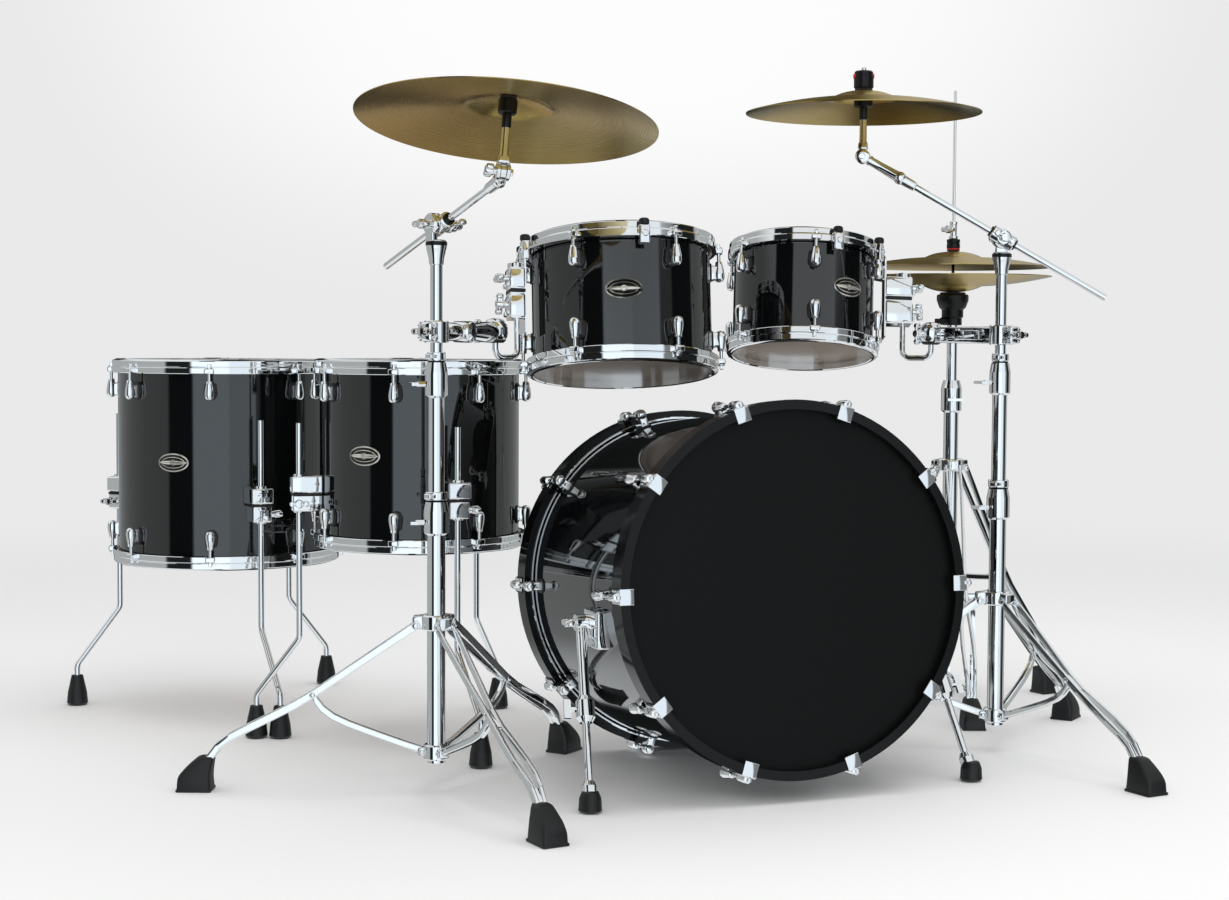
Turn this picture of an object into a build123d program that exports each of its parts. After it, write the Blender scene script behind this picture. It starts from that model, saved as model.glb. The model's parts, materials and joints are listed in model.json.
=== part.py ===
from build123d import *
from math import cos, radians, sin
import os

# An acoustic drum kit: bass drum, two rack toms, two floor toms, two boom stands and a hi-hat.
# Millimetres, +Z up; +X is the audience's right and +Y points back to the drummer. The origin is
# on the floor, in the middle of the kit's footprint.

# ------------------------------------------------------------------ fits, shared by every piece
RUNNING = 0.08  # radial clearance of a tube or rod in its clamp
PASSING = 0.3  # gap between faces that turn or slide past each other
FILM = 0.6  # drum head film

# ------------------------------------------------------------------ bass drum
BASS_X = 8.72  # centre of the front hoop's face
BASS_Y = -579.25
BASS_RADIUS = 279.4  # 22 in shell
BASS_DEPTH = 457.2  # 18 in shell
BASS_TILT = 4.1  # front raised on the spurs, degrees
BASS_WALL = 8.0
BASS_HOOP_PROUD = 16.0  # hoop face beyond the head
BASS_HOOP_WIDTH = 38.0
BASS_HOOP_THICK = 12.0
BASS_FLESH_HOOP = 4.1  # radial room for the metal hoop of the head
BASS_LUGS = 10
BASS_LUG_DROP = 75.0  # lug centre behind the hoop's face

# ------------------------------------------------------------------ bass drum spurs
SPUR_PIVOT_BACK = 160.0  # pivot behind the front hoop's face
SPUR_PIVOT_HEIGHT = 272.0
SPUR_FOOT_SPREAD = BASS_RADIUS + 52.6
SPUR_FOOT_BACK = 30.0
SPUR_TUBE_RADIUS = 8.5
SPUR_ROD_RADIUS = 6.0
SPUR_FOOT_RADIUS = 14.0
SPUR_BRACKET_DEEP = 12.0
SPUR_EYE = 18.0  # thickness of the spur's flattened end
SPUR_PIN = 4.0
SPUR_TUBE_LENGTH = 160.0
SPUR_TRAVEL_IN = 20.0

# ------------------------------------------------------------------ rack and floor toms
TOM_WALL = 6.0
TOM_HOOP_PROUD = 15.0  # die-cast hoop above the head
TOM_HOOP_DEEP = 26.0
TOM_FLESH_HOOP = 5.5
TOM_HOOP_OVER = 11.6  # hoop outside the shell
LUG_DROP = 57.0  # lug centre from the hoop's rim
LUG_LENGTH = 36.0
LUG_WIDTH = 21.0
ROD_OUT = 16.0  # tension rod axis outside the shell
CLAW_ROD = 6.0  # bass tension rod axis outside the wooden hoop
ROD_RADIUS = 3.0
ROD_HEAD = 8.4  # across the flats of a tension rod's head
LUG_TAPER = 8.0  # draft of a lug's casting, degrees

# ------------------------------------------------------------------ floor tom legs
LEG_RADIUS = 5.25
LEG_OUT = 39.0  # leg axis outside the shell
LEG_TOP = 567.0
LEG_BEND_TOP = 185.0
LEG_BEND_FOOT = 78.0
LEG_KICK = 90.0
LEG_FOOT_HEIGHT = 58.0
LEG_BRACKET_WIDTH = 44.0
LEG_BRACKET_HEIGHT = 66.0
LEG_BRACKET_DEEP = 50.0

# ------------------------------------------------------------------ rack tom mounts
MOUNT_OUT = 19.0  # vertical plate outside the shell
MOUNT_PLATE = 3.0
MOUNT_WIDTH = 36.0
MOUNT_DEEP = 168.0  # plate's lower end below the batter rim
BAND_ARC = 120.0  # arc of the suspension band under the hoop
BUSH_RADIUS = 8.0
GRIP_DROP = 100.0  # middle of the rod's clamp below the batter rim
GRIP_WIDTH = 34.0
GRIP_HEIGHT = 86.0
GRIP_OVER_ROD = 14.0
L_ROD_RADIUS = 5.0
L_ROD_BELOW = 42.0  # level run of the rod below the ball
BALL_RADIUS = 12.0

# ------------------------------------------------------------------ stand tubes
BASE_TUBE = 14.3
MIDDLE_TUBE = 12.7
UPPER_TUBE = 9.5
TUBE_WALL = 1.5
BASE_TUBE_END = 48.0
BASE_TUBE_TOP = 461.0
MIDDLE_TUBE_END = 300.0
UPPER_TUBE_END = 500.0
COLLAR_HEIGHT = 271.0
COLLAR_TALL = 26.0
FOOT_COLLAR_HEIGHT = 65.0

# ------------------------------------------------------------------ booms and tom arms
TILTER_HEIGHT = 895.0
TILTER_DISC = 15.0
BOOM_ASIDE = 9.0  # boom beside the tube's axis
BOOM_RADIUS = 5.5
BOOM_SLEEVE = 11.0
STEM_RADIUS = 4.0
ARM_HEIGHT = 728.0
ARM_CLAMP_TALL = 34.0
ARM_CLEAR = 31.0  # clamp above the middle tube
MIDDLE_TUBE_TOP = ARM_HEIGHT - ARM_CLAMP_TALL / 2 - ARM_CLEAR
ARM_BAR_TALL = 24.0
ARM_BAR_THICK = 14.0

# ------------------------------------------------------------------ cymbals
CYMBAL_THICK = 1.5
CYMBAL_HOLE = 6.0
CYMBAL_GAP = 0.4  # cymbal above its seat

# ------------------------------------------------------------------ hi-hat stand
HIHAT_X = 664.0  # pole, from the bass drum's front centre
HIHAT_Y = 674.0
HIHAT_LEGS = 9.7  # bearing of one leg
HIHAT_COLLAR = 474.0
HIHAT_FOOT_COLLAR = 254.0
HIHAT_TRIPOD = 262.0
HIHAT_TUBE_END = 200.0
HIHAT_TUBE_TOP = 640.0
HIHAT_POLE = 10.0
HIHAT_SEAT = 812.0
HIHAT_BOTTOM_EDGE = 843.0
HIHAT_TOP_EDGE = 862.0
HIHAT_RADIUS = 190.5  # 15 in
HIHAT_RISE = 30.0
PULL_ROD_RADIUS = 3.0
PULL_ROD_TOP = 1205.0
PEDAL_BEARING = 69.7
PEDAL_HINGE = 272.0
PEDAL_HINGE_HEIGHT = 24.0
PEDAL_TOE_HEIGHT = 186.0
PEDAL_WIDTH = 82.0

os.makedirs("parts", exist_ok=True)


# ------------------------------------------------------------------ shared shapes
def finish(part, name):
    """Label a finished piece and write its STEP file."""
    part.label = name
    export_step(part, f"parts/{name}.step")


def spot(x, y, z=0.0):
    """A point given from the floor below the bass drum's front centre."""
    return Vector(BASS_X + x, BASS_Y + y, z)


def heading(bearing, length=1.0, height=0.0):
    """A vector at a bearing from +X, seen from above."""
    return Vector(length * cos(radians(bearing)), length * sin(radians(bearing)), height)


def outward(frame, bearing, radius, height):
    """A plane that faces away from a frame's axis, with its y along that axis."""
    spoke = frame.x_dir * cos(radians(bearing)) + frame.y_dir * sin(radians(bearing))
    origin = frame.origin + spoke * radius + frame.z_dir * height
    return Plane(origin, x_dir=frame.z_dir.cross(spoke), z_dir=spoke)


def turned(frame, *outline):
    """Turn a closed outline of (radius, height) points about a frame's axis."""
    with BuildSketch(Plane(frame.origin, x_dir=frame.x_dir, z_dir=-frame.y_dir)) as profile:
        with BuildLine():
            Polyline(*outline, close=True)
        make_face()
    revolve(profile.sketch, axis=Axis(frame.origin, frame.z_dir))


def plate(plane, thickness, *outline):
    """Extrude a closed outline to both sides of a plane."""
    with BuildSketch(plane) as profile:
        with BuildLine():
            Polyline(*outline, close=True)
        make_face()
    extrude(profile.sketch, amount=thickness / 2, both=True)


def bar(start, end, radius, bore=0.0, mode=Mode.ADD):
    """A round bar between two points, or a tube if it has a bore."""
    line = end - start
    with BuildSketch(Plane(start, z_dir=line)) as section:
        Circle(radius)
        if bore:
            Circle(bore, mode=Mode.SUBTRACT)
    extrude(section.sketch, amount=line.length, mode=mode)


def block(plane, width, height, depth, mode=Mode.ADD):
    """A rectangular block that stands on a plane."""
    with BuildSketch(plane) as section:
        Rectangle(width, height)
    extrude(section.sketch, amount=depth, mode=mode)


def wing_bolt(plane, reach, span=30.0):
    """A clamp bolt that stands on a plane, with its wings across the plane's x."""
    with BuildSketch(plane) as shank:
        RegularPolygon(4.5, 6)
    extrude(shank.sketch, amount=reach)
    block(plane.offset(reach), span, 5.0, 11.0)


def bent_rod(radius, bend, *points):
    """Sweep a round rod along points with rounded bends."""
    with BuildLine() as route:
        FilletPolyline(*points, radius=bend)
    with BuildSketch(Plane(points[0], z_dir=points[1] - points[0])) as section:
        Circle(radius)
    sweep(section.sketch, path=route.line)


# ------------------------------------------------------------------ drums
def lug_with_rod(rod_length, rod_out, head_gap):
    """A teardrop lug that points at its hoop along +y, with the tension rod screwed into it."""
    wide_end = -LUG_LENGTH / 2 + LUG_WIDTH / 2
    narrow = 0.52 * LUG_WIDTH
    with BuildPart() as made:
        with BuildSketch(Plane.XY.offset(-1)):
            with BuildLine():
                side = Line((LUG_WIDTH / 2, wide_end), (narrow / 2, LUG_LENGTH / 2 - 2))
                tip = Line(side @ 1, (-narrow / 2, LUG_LENGTH / 2 - 2))
                back = Line(tip @ 1, (-LUG_WIDTH / 2, wide_end))
                ThreePointArc(back @ 1, (0, -LUG_LENGTH / 2), side @ 0)
            make_face()
        extrude(amount=rod_out + ROD_RADIUS - 2, taper=LUG_TAPER)
        crown = Plane((0, 0.5 * LUG_LENGTH, rod_out), z_dir=(0, 1, 0))
        with BuildSketch(crown) as neck:
            RegularPolygon(ROD_RADIUS + 2.6, 8)
        extrude(neck.sketch, amount=-0.62 * LUG_LENGTH)
        with BuildSketch(crown.offset(-4)) as rod:
            RegularPolygon(ROD_RADIUS, 6)
        extrude(rod.sketch, amount=rod_length + 4)
        head = crown.offset(rod_length + head_gap)
        block(head, ROD_HEAD, ROD_HEAD, 8)
    return made.part


def ends(frame, height):
    """The batter end's frame and the resonant end's, both with z out of the drum."""
    far = Plane(frame.origin - frame.z_dir * height, x_dir=frame.x_dir, z_dir=-frame.z_dir)
    return (frame, 1), (far, -1)


def tom_shell(name, frame, radius, height):
    with BuildPart() as shell:
        with BuildSketch(frame.offset(TOM_HOOP_PROUD - height)):
            Circle(radius)
            Circle(radius - TOM_WALL, mode=Mode.SUBTRACT)
        extrude(amount=height - 2 * TOM_HOOP_PROUD)
    finish(shell.part, f"{name}_shell")


def tom_heads(name, frame, radius, height):
    """Both heads: a film stretched over the shell and the metal hoop it is glued into."""
    inner = radius + 0.8
    outer = radius + TOM_FLESH_HOOP - PASSING
    film = FILM - TOM_HOOP_PROUD
    with BuildPart() as heads:
        for end, _ in ends(frame, height):
            turned(
                end,
                (0, film),
                (outer, film),
                (outer, film - 8),
                (inner, film - 8),
                (inner, -TOM_HOOP_PROUD),
                (0, -TOM_HOOP_PROUD),
            )
    finish(heads.part, f"{name}_heads")


def tom_hoops(name, frame, radius, height, lugs, phase):
    """Both die-cast hoops, with an ear for each tension rod."""
    seat = FILM - TOM_HOOP_PROUD
    ear = ROD_OUT + 6.5 - TOM_HOOP_OVER
    with BuildPart() as hoops:
        for end, turn in ends(frame, height):
            turned(
                end,
                (radius - 1, 0),
                (radius + TOM_HOOP_OVER, -5),
                (radius + TOM_HOOP_OVER, -TOM_HOOP_DEEP),
                (radius + TOM_FLESH_HOOP, -TOM_HOOP_DEEP),
                (radius + TOM_FLESH_HOOP, seat),
                (radius - 1, seat),
            )
            with BuildSketch(end.offset(-TOM_HOOP_DEEP)):
                with PolarLocations(radius + TOM_HOOP_OVER + ear / 2 - 1, lugs, turn * phase):
                    Rectangle(ear + 2, 18)
            extrude(amount=9)
    finish(hoops.part, f"{name}_hoops")


def tom_lugs(frame, radius, height, lugs, phase):
    """Add the lugs and tension rods of both ends to the piece being built."""
    rod_length = LUG_DROP - LUG_LENGTH / 2 - TOM_HOOP_DEEP
    one = lug_with_rod(rod_length, ROD_OUT, 9)
    for end, turn in ends(frame, height):
        bearings = [turn * (phase + i * 360 / lugs) for i in range(lugs)]
        with Locations(*[Location(outward(end, b, radius, -LUG_DROP)) for b in bearings]):
            add(one)
    bar(frame.origin, frame.origin - frame.z_dir * height, radius, mode=Mode.SUBTRACT)


# ------------------------------------------------------------------ bass drum
bass_length = BASS_DEPTH + 2 * BASS_HOOP_PROUD
bass_hoop_radius = BASS_RADIUS + BASS_FLESH_HOOP + BASS_HOOP_THICK + 0.5
bass_front_height = bass_hoop_radius * cos(radians(BASS_TILT)) + bass_length * sin(radians(BASS_TILT))
bass_back = Vector(0, cos(radians(BASS_TILT)), -sin(radians(BASS_TILT)))
# z runs out of the front, y is up the drum's face and x is the audience's right
bass_front = Plane(spot(0, 0, bass_front_height), x_dir=(1, 0, 0), z_dir=-bass_back)

with BuildPart() as bass_shell:
    with BuildSketch(bass_front.offset(-BASS_HOOP_PROUD)):
        Circle(BASS_RADIUS)
        Circle(BASS_RADIUS - BASS_WALL, mode=Mode.SUBTRACT)
    extrude(amount=-BASS_DEPTH)
finish(bass_shell.part, "bass_shell")

with BuildPart() as bass_heads:
    for end, _ in ends(bass_front, bass_length):
        turned(
            end,
            (0, FILM - BASS_HOOP_PROUD),
            (BASS_RADIUS + BASS_FLESH_HOOP, FILM - BASS_HOOP_PROUD),
            (BASS_RADIUS + BASS_FLESH_HOOP, -8 - BASS_HOOP_PROUD),
            (BASS_RADIUS + 0.8, -8 - BASS_HOOP_PROUD),
            (BASS_RADIUS + 0.8, -BASS_HOOP_PROUD),
            (0, -BASS_HOOP_PROUD),
        )
finish(bass_heads.part, "bass_heads")

with BuildPart() as bass_hoops:
    for end, _ in ends(bass_front, bass_length):
        turned(
            end,
            (BASS_RADIUS + 1.5, 0),
            (bass_hoop_radius, 0),
            (bass_hoop_radius, -BASS_HOOP_WIDTH),
            (bass_hoop_radius - BASS_HOOP_THICK, -BASS_HOOP_WIDTH),
            (bass_hoop_radius - BASS_HOOP_THICK, FILM - BASS_HOOP_PROUD),
            (BASS_RADIUS + 1.5, FILM - BASS_HOOP_PROUD),
        )
finish(bass_hoops.part, "bass_hoops")

bass_rod_out = bass_hoop_radius + CLAW_ROD - BASS_RADIUS
claw_reach = BASS_HOOP_WIDTH - 8
bass_lug_bearings = [90 + 360 / BASS_LUGS * (i + 0.5) for i in range(BASS_LUGS)]

with BuildPart() as claw:
    # x is tangential, y runs out over the hoop's face and z away from the drum's axis
    hook = Plane((0, 0, 0), x_dir=(0, 1, 0), z_dir=(1, 0, 0))
    plate(hook, 30, (0, -28), (3, -28), (3, 3), (-claw_reach, 3), (-claw_reach, 0), (0, 0))
    with BuildSketch(Plane.XY.offset(2.5)):
        with Locations((0, -claw_reach / 2)):
            Rectangle(15, claw_reach - 4)
    extrude(amount=CLAW_ROD + 2, taper=12)

with BuildPart() as bass_claws:
    for end, turn in ends(bass_front, bass_length):
        seats = [outward(end, turn * b, bass_hoop_radius, 0) for b in bass_lug_bearings]
        with Locations(*[Location(seat) for seat in seats]):
            add(claw.part)
finish(bass_claws.part, "bass_claws")

# ------------------------------------------------------------------ spurs and what the shell carries
spur_sides = {"left": -1, "right": 1}
spur_frame_out = BASS_RADIUS + SPUR_BRACKET_DEEP


def spur_pivot(side):
    """Middle of a spur's flattened end, beside the shell."""
    out = spur_frame_out + PASSING + SPUR_EYE / 2
    return spot(side * out, SPUR_PIVOT_BACK, SPUR_PIVOT_HEIGHT)


with BuildPart() as bass_lugs:
    one = lug_with_rod(BASS_LUG_DROP - LUG_LENGTH / 2 - claw_reach - 2, bass_rod_out, claw_reach + 5.5)
    for end, turn in ends(bass_front, bass_length):
        seats = [outward(end, turn * b, BASS_RADIUS, -BASS_LUG_DROP) for b in bass_lug_bearings]
        with Locations(*[Location(seat) for seat in seats]):
            add(one)
    for side in spur_sides.values():
        pivot = spur_pivot(side)
        face = Vector(BASS_X + side * spur_frame_out, pivot.Y, pivot.Z)
        bracket = Plane(face, x_dir=(0, 1, 0), z_dir=(-side, 0, 0))
        with BuildSketch(bracket) as casting:
            with Locations((-18, side * 8)):
                Rectangle(62, 60)
        extrude(casting.sketch, amount=SPUR_BRACKET_DEEP + 14)
        pin_end = Vector(face.X + side * (2 * PASSING + SPUR_EYE), face.Y, face.Z)
        bar(face, pin_end, SPUR_PIN)
        wing_bolt(Plane(pin_end, x_dir=(0, 1, 0), z_dir=(side, 0, 0)), 5, 34)
    bar(bass_front.origin, bass_front.origin + bass_back * bass_length, BASS_RADIUS, mode=Mode.SUBTRACT)
finish(bass_lugs.part, "bass_lugs_and_spur_brackets")

for name, side in spur_sides.items():
    pivot = spur_pivot(side)
    foot = spot(side * SPUR_FOOT_SPREAD, SPUR_FOOT_BACK, 0)
    down = (foot + Vector(0, 0, SPUR_FOOT_RADIUS) - pivot).normalized()
    joint = pivot + down * SPUR_TUBE_LENGTH
    rod_end = foot + Vector(0, 0, SPUR_FOOT_RADIUS) - down * 6
    across = Vector(side, 0, 0)
    with BuildPart() as spur_tube:
        bar(pivot - across * SPUR_EYE / 2, pivot + across * SPUR_EYE / 2, 13)
        bar(pivot, joint, SPUR_TUBE_RADIUS)
        turned(Plane(joint, z_dir=-down), (0, -4), (10, -4), (15, 4), (15, 30), (10, 38), (0, 38))
        wing_bolt(Plane(joint - down * 17, x_dir=down, z_dir=across - down * down.dot(across)), 24)
        bar(pivot - across * SPUR_EYE, pivot + across * SPUR_EYE, SPUR_PIN + RUNNING, mode=Mode.SUBTRACT)
        bar(pivot + down * 20, joint + down * 5, SPUR_ROD_RADIUS + RUNNING, mode=Mode.SUBTRACT)
    finish(spur_tube.part, f"spur_{name}_tube")
    with BuildPart() as spur_rod:
        bar(pivot + down * (20 + SPUR_TRAVEL_IN), rod_end, SPUR_ROD_RADIUS)
        turned(Plane(rod_end, z_dir=-down), (0, -1), (7, -1), (12, 8), (12, 20), (8, 28), (0, 28))
    finish(spur_rod.part, f"spur_{name}_rod")
    with BuildPart() as spur_foot:
        sole = Plane(foot, x_dir=(1, 0, 0), z_dir=(0, 0, 1))
        turned(sole, (0, 0), (13, 0), (18, 4), (17, 22), (13, 32), (0, 34))
        add(spur_rod.part, mode=Mode.SUBTRACT)
    finish(spur_foot.part, f"spur_{name}_foot")

# ------------------------------------------------------------------ toms
INCH = 25.4


class Tom:
    """A tom's size and the frame at its batter rim, with z out of the top of the drum."""

    def __init__(self, name, diameter, height, centre, lean, lugs, phase):
        self.name = name
        self.radius = diameter * INCH / 2
        self.height = height
        normal = Vector(*lean, 1).normalized()
        across = (Vector(1, 0, 0) - normal * normal.X).normalized()
        self.frame = Plane(spot(*centre), x_dir=across, z_dir=normal)
        self.lugs = lugs
        self.phase = phase
        self.size = (self.radius, height)


tom_16 = Tom("floor_tom_16", 16, 386.4, (-681.8, 1099.5, 676.5), (0, 0), 8, 26.4)
tom_14 = Tom("floor_tom_14", 14, 334.8, (-408.2, 708.3, 680.7), (0, 0), 8, 16.1)
tom_12 = Tom("rack_tom_12", 12, 233.2, (-131.8, 430.9, 886.0), (0.039, 0.171), 6, 41.7)
tom_10 = Tom("rack_tom_10", 10, 207.8, (273.7, 542.2, 890.8), (0.105, 0.192), 6, 12.7)

for tom in (tom_16, tom_14, tom_12, tom_10):
    tom_shell(tom.name, tom.frame, *tom.size)
    tom_heads(tom.name, tom.frame, *tom.size)
    tom_hoops(tom.name, tom.frame, *tom.size, tom.lugs, tom.phase)

# Floor toms: each leg's bearing on the drum, the bearing of its kick and its bracket's foot
floor_legs = {
    tom_16: ((138.9, 196), (273.9, 280), (48.9, 20)),
    tom_14: ((176.0, 136), (271.5, 279), (44.5, 45)),
}
leg_bracket_low = {tom_16: 380.0, tom_14: 410.0}

for tom, legs in floor_legs.items():
    bracket = leg_bracket_low[tom] - tom.frame.origin.Z
    leg_radius = tom.radius + LEG_OUT
    with BuildPart() as floor_legs_made:
        for bearing, kick in legs:
            top = tom.frame.origin + heading(bearing, leg_radius)
            top.Z = LEG_TOP
            ankle = Vector(top.X, top.Y, LEG_BEND_FOOT) + heading(kick, LEG_KICK)
            bent_rod(
                LEG_RADIUS,
                22,
                top,
                Vector(top.X, top.Y, LEG_BEND_TOP),
                ankle,
                Vector(ankle.X, ankle.Y, 12),
            )
    finish(floor_legs_made.part, f"{tom.name}_legs")
    with BuildPart() as floor_feet:
        for bearing, kick in legs:
            sole = tom.frame.origin + heading(bearing, leg_radius) + heading(kick, LEG_KICK)
            sole.Z = 0
            cone = [(0, 0), (17, 0), (20, 5), (18, 26), (11, LEG_FOOT_HEIGHT), (0, LEG_FOOT_HEIGHT)]
            turned(Plane(sole), *cone)
        add(floor_legs_made.part, mode=Mode.SUBTRACT)
    finish(floor_feet.part, f"{tom.name}_feet")
    with BuildPart() as floor_lugs:
        for bearing, _ in legs:
            low = outward(tom.frame, bearing, tom.radius - 6, bracket + LEG_BRACKET_HEIGHT / 4)
            high = outward(tom.frame, bearing, tom.radius - 6, bracket + 0.74 * LEG_BRACKET_HEIGHT)
            block(low, 0.8 * LEG_BRACKET_WIDTH, 0.46 * LEG_BRACKET_HEIGHT, LEG_BRACKET_DEEP + 3)
            block(high, LEG_BRACKET_WIDTH, 0.52 * LEG_BRACKET_HEIGHT, LEG_BRACKET_DEEP + 6)
            clamp = low.origin + low.z_dir * (LEG_OUT + 6) + low.x_dir * 0.4 * LEG_BRACKET_WIDTH
            wing_bolt(Plane(clamp, x_dir=low.z_dir, z_dir=low.x_dir), 9)
            leg = tom.frame.origin + heading(bearing, leg_radius)
            bar(leg, leg - Vector(0, 0, tom.height), LEG_RADIUS + RUNNING, mode=Mode.SUBTRACT)
        tom_lugs(tom.frame, *tom.size, tom.lugs, tom.phase)
    finish(floor_lugs.part, f"{tom.name}_lugs_and_leg_brackets")

# Rack toms: the bearing of the mount on the drum, its rod's radius, and the ball on the stand's arm
left_stand = spot(-511, 248)
right_stand = spot(498, 228)
rack_mounts = {
    tom_12: (176.0, 184.0, left_stand + heading(45, 202, ARM_HEIGHT)),
    tom_10: (-20.0, 182.0, right_stand + heading(102, 178.5, ARM_HEIGHT)),
}

for tom, (bearing, rod_radius, ball) in rack_mounts.items():
    with BuildPart() as rack_lugs:
        tom_lugs(tom.frame, *tom.size, tom.lugs, tom.phase)
    finish(rack_lugs.part, f"{tom.name}_lugs")

    band = -TOM_HOOP_DEEP - PASSING
    plate_top = outward(tom.frame, bearing, tom.radius + MOUNT_OUT, band)
    grip = outward(tom.frame, bearing, tom.radius + MOUNT_OUT, -GRIP_DROP)
    rod_frame = outward(tom.frame, bearing, rod_radius, 0)
    upper_end = rod_frame.origin - tom.frame.z_dir * (GRIP_DROP - GRIP_HEIGHT / 2 - 6)
    lower_end = Axis(rod_frame.origin, tom.frame.z_dir).intersect(Plane.XY.offset(ball.Z - L_ROD_BELOW))
    below_ball = ball - Vector(0, 0, L_ROD_BELOW)
    arc = BAND_ARC / 2
    lug_bearings = [tom.phase + i * 360 / tom.lugs for i in range(tom.lugs)]
    held = [b for b in lug_bearings if cos(radians(b - bearing)) > cos(radians(arc))]
    bushes = [outward(tom.frame, b, tom.radius + ROD_OUT, band - MOUNT_PLATE / 2) for b in held]
    with BuildPart() as mount:
        with BuildSketch(tom.frame.offset(band)) as strip:
            Circle(tom.radius + MOUNT_OUT + MOUNT_PLATE)
            Circle(tom.radius + 5, mode=Mode.SUBTRACT)
            corners = [heading(b, 3 * tom.radius) for b in (bearing - arc, bearing, bearing + arc)]
            with BuildLine() as wedge:
                Polyline((0, 0), *[(c.X, c.Y) for c in corners], close=True)
            make_face(mode=Mode.INTERSECT)
        extrude(strip.sketch, amount=-MOUNT_PLATE)
        with BuildSketch(plate_top) as upright:
            with Locations((0, -(MOUNT_DEEP + band) / 2)):
                Rectangle(MOUNT_WIDTH, MOUNT_DEEP + band)
        extrude(upright.sketch, amount=MOUNT_PLATE)
        grip_deep = rod_radius - tom.radius - MOUNT_OUT + GRIP_OVER_ROD
        block(grip, GRIP_WIDTH, GRIP_HEIGHT, grip_deep)
        wing = grip.offset(grip_deep)
        wing_bolt(Plane(wing.origin + wing.y_dir * 24, x_dir=wing.x_dir, z_dir=wing.z_dir), 10)
        bar(upper_end, lower_end, L_ROD_RADIUS + RUNNING, mode=Mode.SUBTRACT)
        for bush in bushes:
            post = tom.frame.z_dir * (MOUNT_PLATE / 2 + 1.5)
            bar(bush.origin - post, bush.origin + tom.frame.z_dir * MOUNT_PLATE / 2, BUSH_RADIUS)
            bar(bush.origin - post * 2, bush.origin + post * 2, ROD_RADIUS + PASSING, mode=Mode.SUBTRACT)
    with BuildPart() as mount_rod:
        bent_rod(L_ROD_RADIUS, 16, upper_end, lower_end, below_ball, ball)
        with Locations(ball):
            Sphere(BALL_RADIUS)
    finish(Compound(children=[mount.part, mount_rod.part]), f"{tom.name}_mount")


# ------------------------------------------------------------------ stands
def leg_outline(length):
    """Half the outline of a pressed tripod leg: wide ears, a waist, and an eye near the foot."""
    return [
        (0, 15.3),
        (0.12 * length, 15.3),
        (0.5 * length, 8.3),
        (0.78 * length, 13),
        (0.93 * length, 9),
        (length, 9),
    ]


def mirrored(half):
    """Close half an outline about its x axis."""
    return half + [(x, -y) for x, y in reversed(half)]


def tripod(name, foot, bearings, radius, collar, foot_collar):
    """A tripod about a stand's axis: two collars, three pressed legs and their struts."""
    with BuildPart() as made:
        for height, around in ((collar, 24), (foot_collar, 20)):
            low = height - COLLAR_TALL / 2
            high = height + COLLAR_TALL / 2
            turned(Plane(foot), (BASE_TUBE, low), (around, low), (around, high), (BASE_TUBE, high))
        for bearing in bearings:
            top = foot + heading(bearing, 26, collar - 1)
            toe = foot + heading(bearing, radius - 10, 34)
            across = Vector(0, 0, 1).cross(heading(bearing))
            slope = (toe - top).normalized()
            length = (toe - top).length
            leg = Plane(top, x_dir=slope, z_dir=slope.cross(across))
            with BuildSketch(leg) as pressing:
                with BuildLine():
                    Polyline(*mirrored(leg_outline(length)), close=True)
                make_face()
                with BuildLine():
                    Polyline(*mirrored([(-1, 12.3), (0.46 * length, 5.3)]), close=True)
                make_face(mode=Mode.SUBTRACT)
                slot = [(0.56 * length, 3), (0.77 * length, 9), (0.89 * length, 4.5)]
                with BuildLine():
                    Polyline(*mirrored(slot), close=True)
                make_face(mode=Mode.SUBTRACT)
            extrude(pressing.sketch, amount=4.5, both=True)
            boss = outward(Plane(foot), bearing, 20, collar)
            block(boss, 24, 22, 16)
            pin = top + slope * 7
            bar(pin - across * 15, pin + across * 15, 4)
            strut_start = foot + heading(bearing, 17, foot_collar)
            strut_end = top + slope * 0.49 * length
            run = strut_end - strut_start
            strut = Plane(strut_start, x_dir=run, z_dir=across)
            plate(strut, 10, (0, -5), (run.length, -5), (run.length, 5), (0, 5))
        bar(foot, foot + Vector(0, 0, collar + 40), BASE_TUBE + RUNNING, mode=Mode.SUBTRACT)
    finish(made.part, f"{name}_tripod")
    with BuildPart() as feet:
        for bearing in bearings:
            root = foot + heading(bearing, radius)
            side = Plane(root, x_dir=heading(bearing), z_dir=heading(bearing - 90))
            plate(side, 42, (-26, 0), (28, 0), (24, 24), (-8, 50), (-30, 60), (-38, 44))
        add(made.part, mode=Mode.SUBTRACT)
    return feet.part


def clamp_bolt(foot, bearing, radius, height):
    """The wing bolt that closes a tube clamp."""
    wing_bolt(outward(Plane(foot), bearing, radius, height), 16)


def cymbal(frame, radius, rise):
    """A spun bronze cymbal whose edge lies in a frame's plane and whose bell rises along its z."""
    bell = 0.3 * radius
    shoulder = 0.6 * rise
    with BuildPart() as made:
        with BuildSketch(Plane(frame.origin, x_dir=frame.x_dir, z_dir=-frame.y_dir)):
            with BuildLine():
                top = ThreePointArc((radius, 0), (0.66 * radius, 0.4 * rise), (bell, shoulder))
                crown = ThreePointArc(top @ 1, (0.2 * radius, 0.86 * rise), (CYMBAL_HOLE, rise))
                Line(crown @ 1, (CYMBAL_HOLE, rise - CYMBAL_THICK))
                under = ThreePointArc(
                    (CYMBAL_HOLE, rise - CYMBAL_THICK),
                    (0.2 * radius, 0.86 * rise - CYMBAL_THICK),
                    (bell, shoulder - CYMBAL_THICK),
                )
                bow = ThreePointArc(
                    under @ 1, (0.66 * radius, 0.4 * rise - CYMBAL_THICK), (radius, -CYMBAL_THICK)
                )
                Line(bow @ 1, top @ 0)
            make_face()
        revolve(axis=Axis(frame.origin, frame.z_dir))
    return made.part


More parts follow.
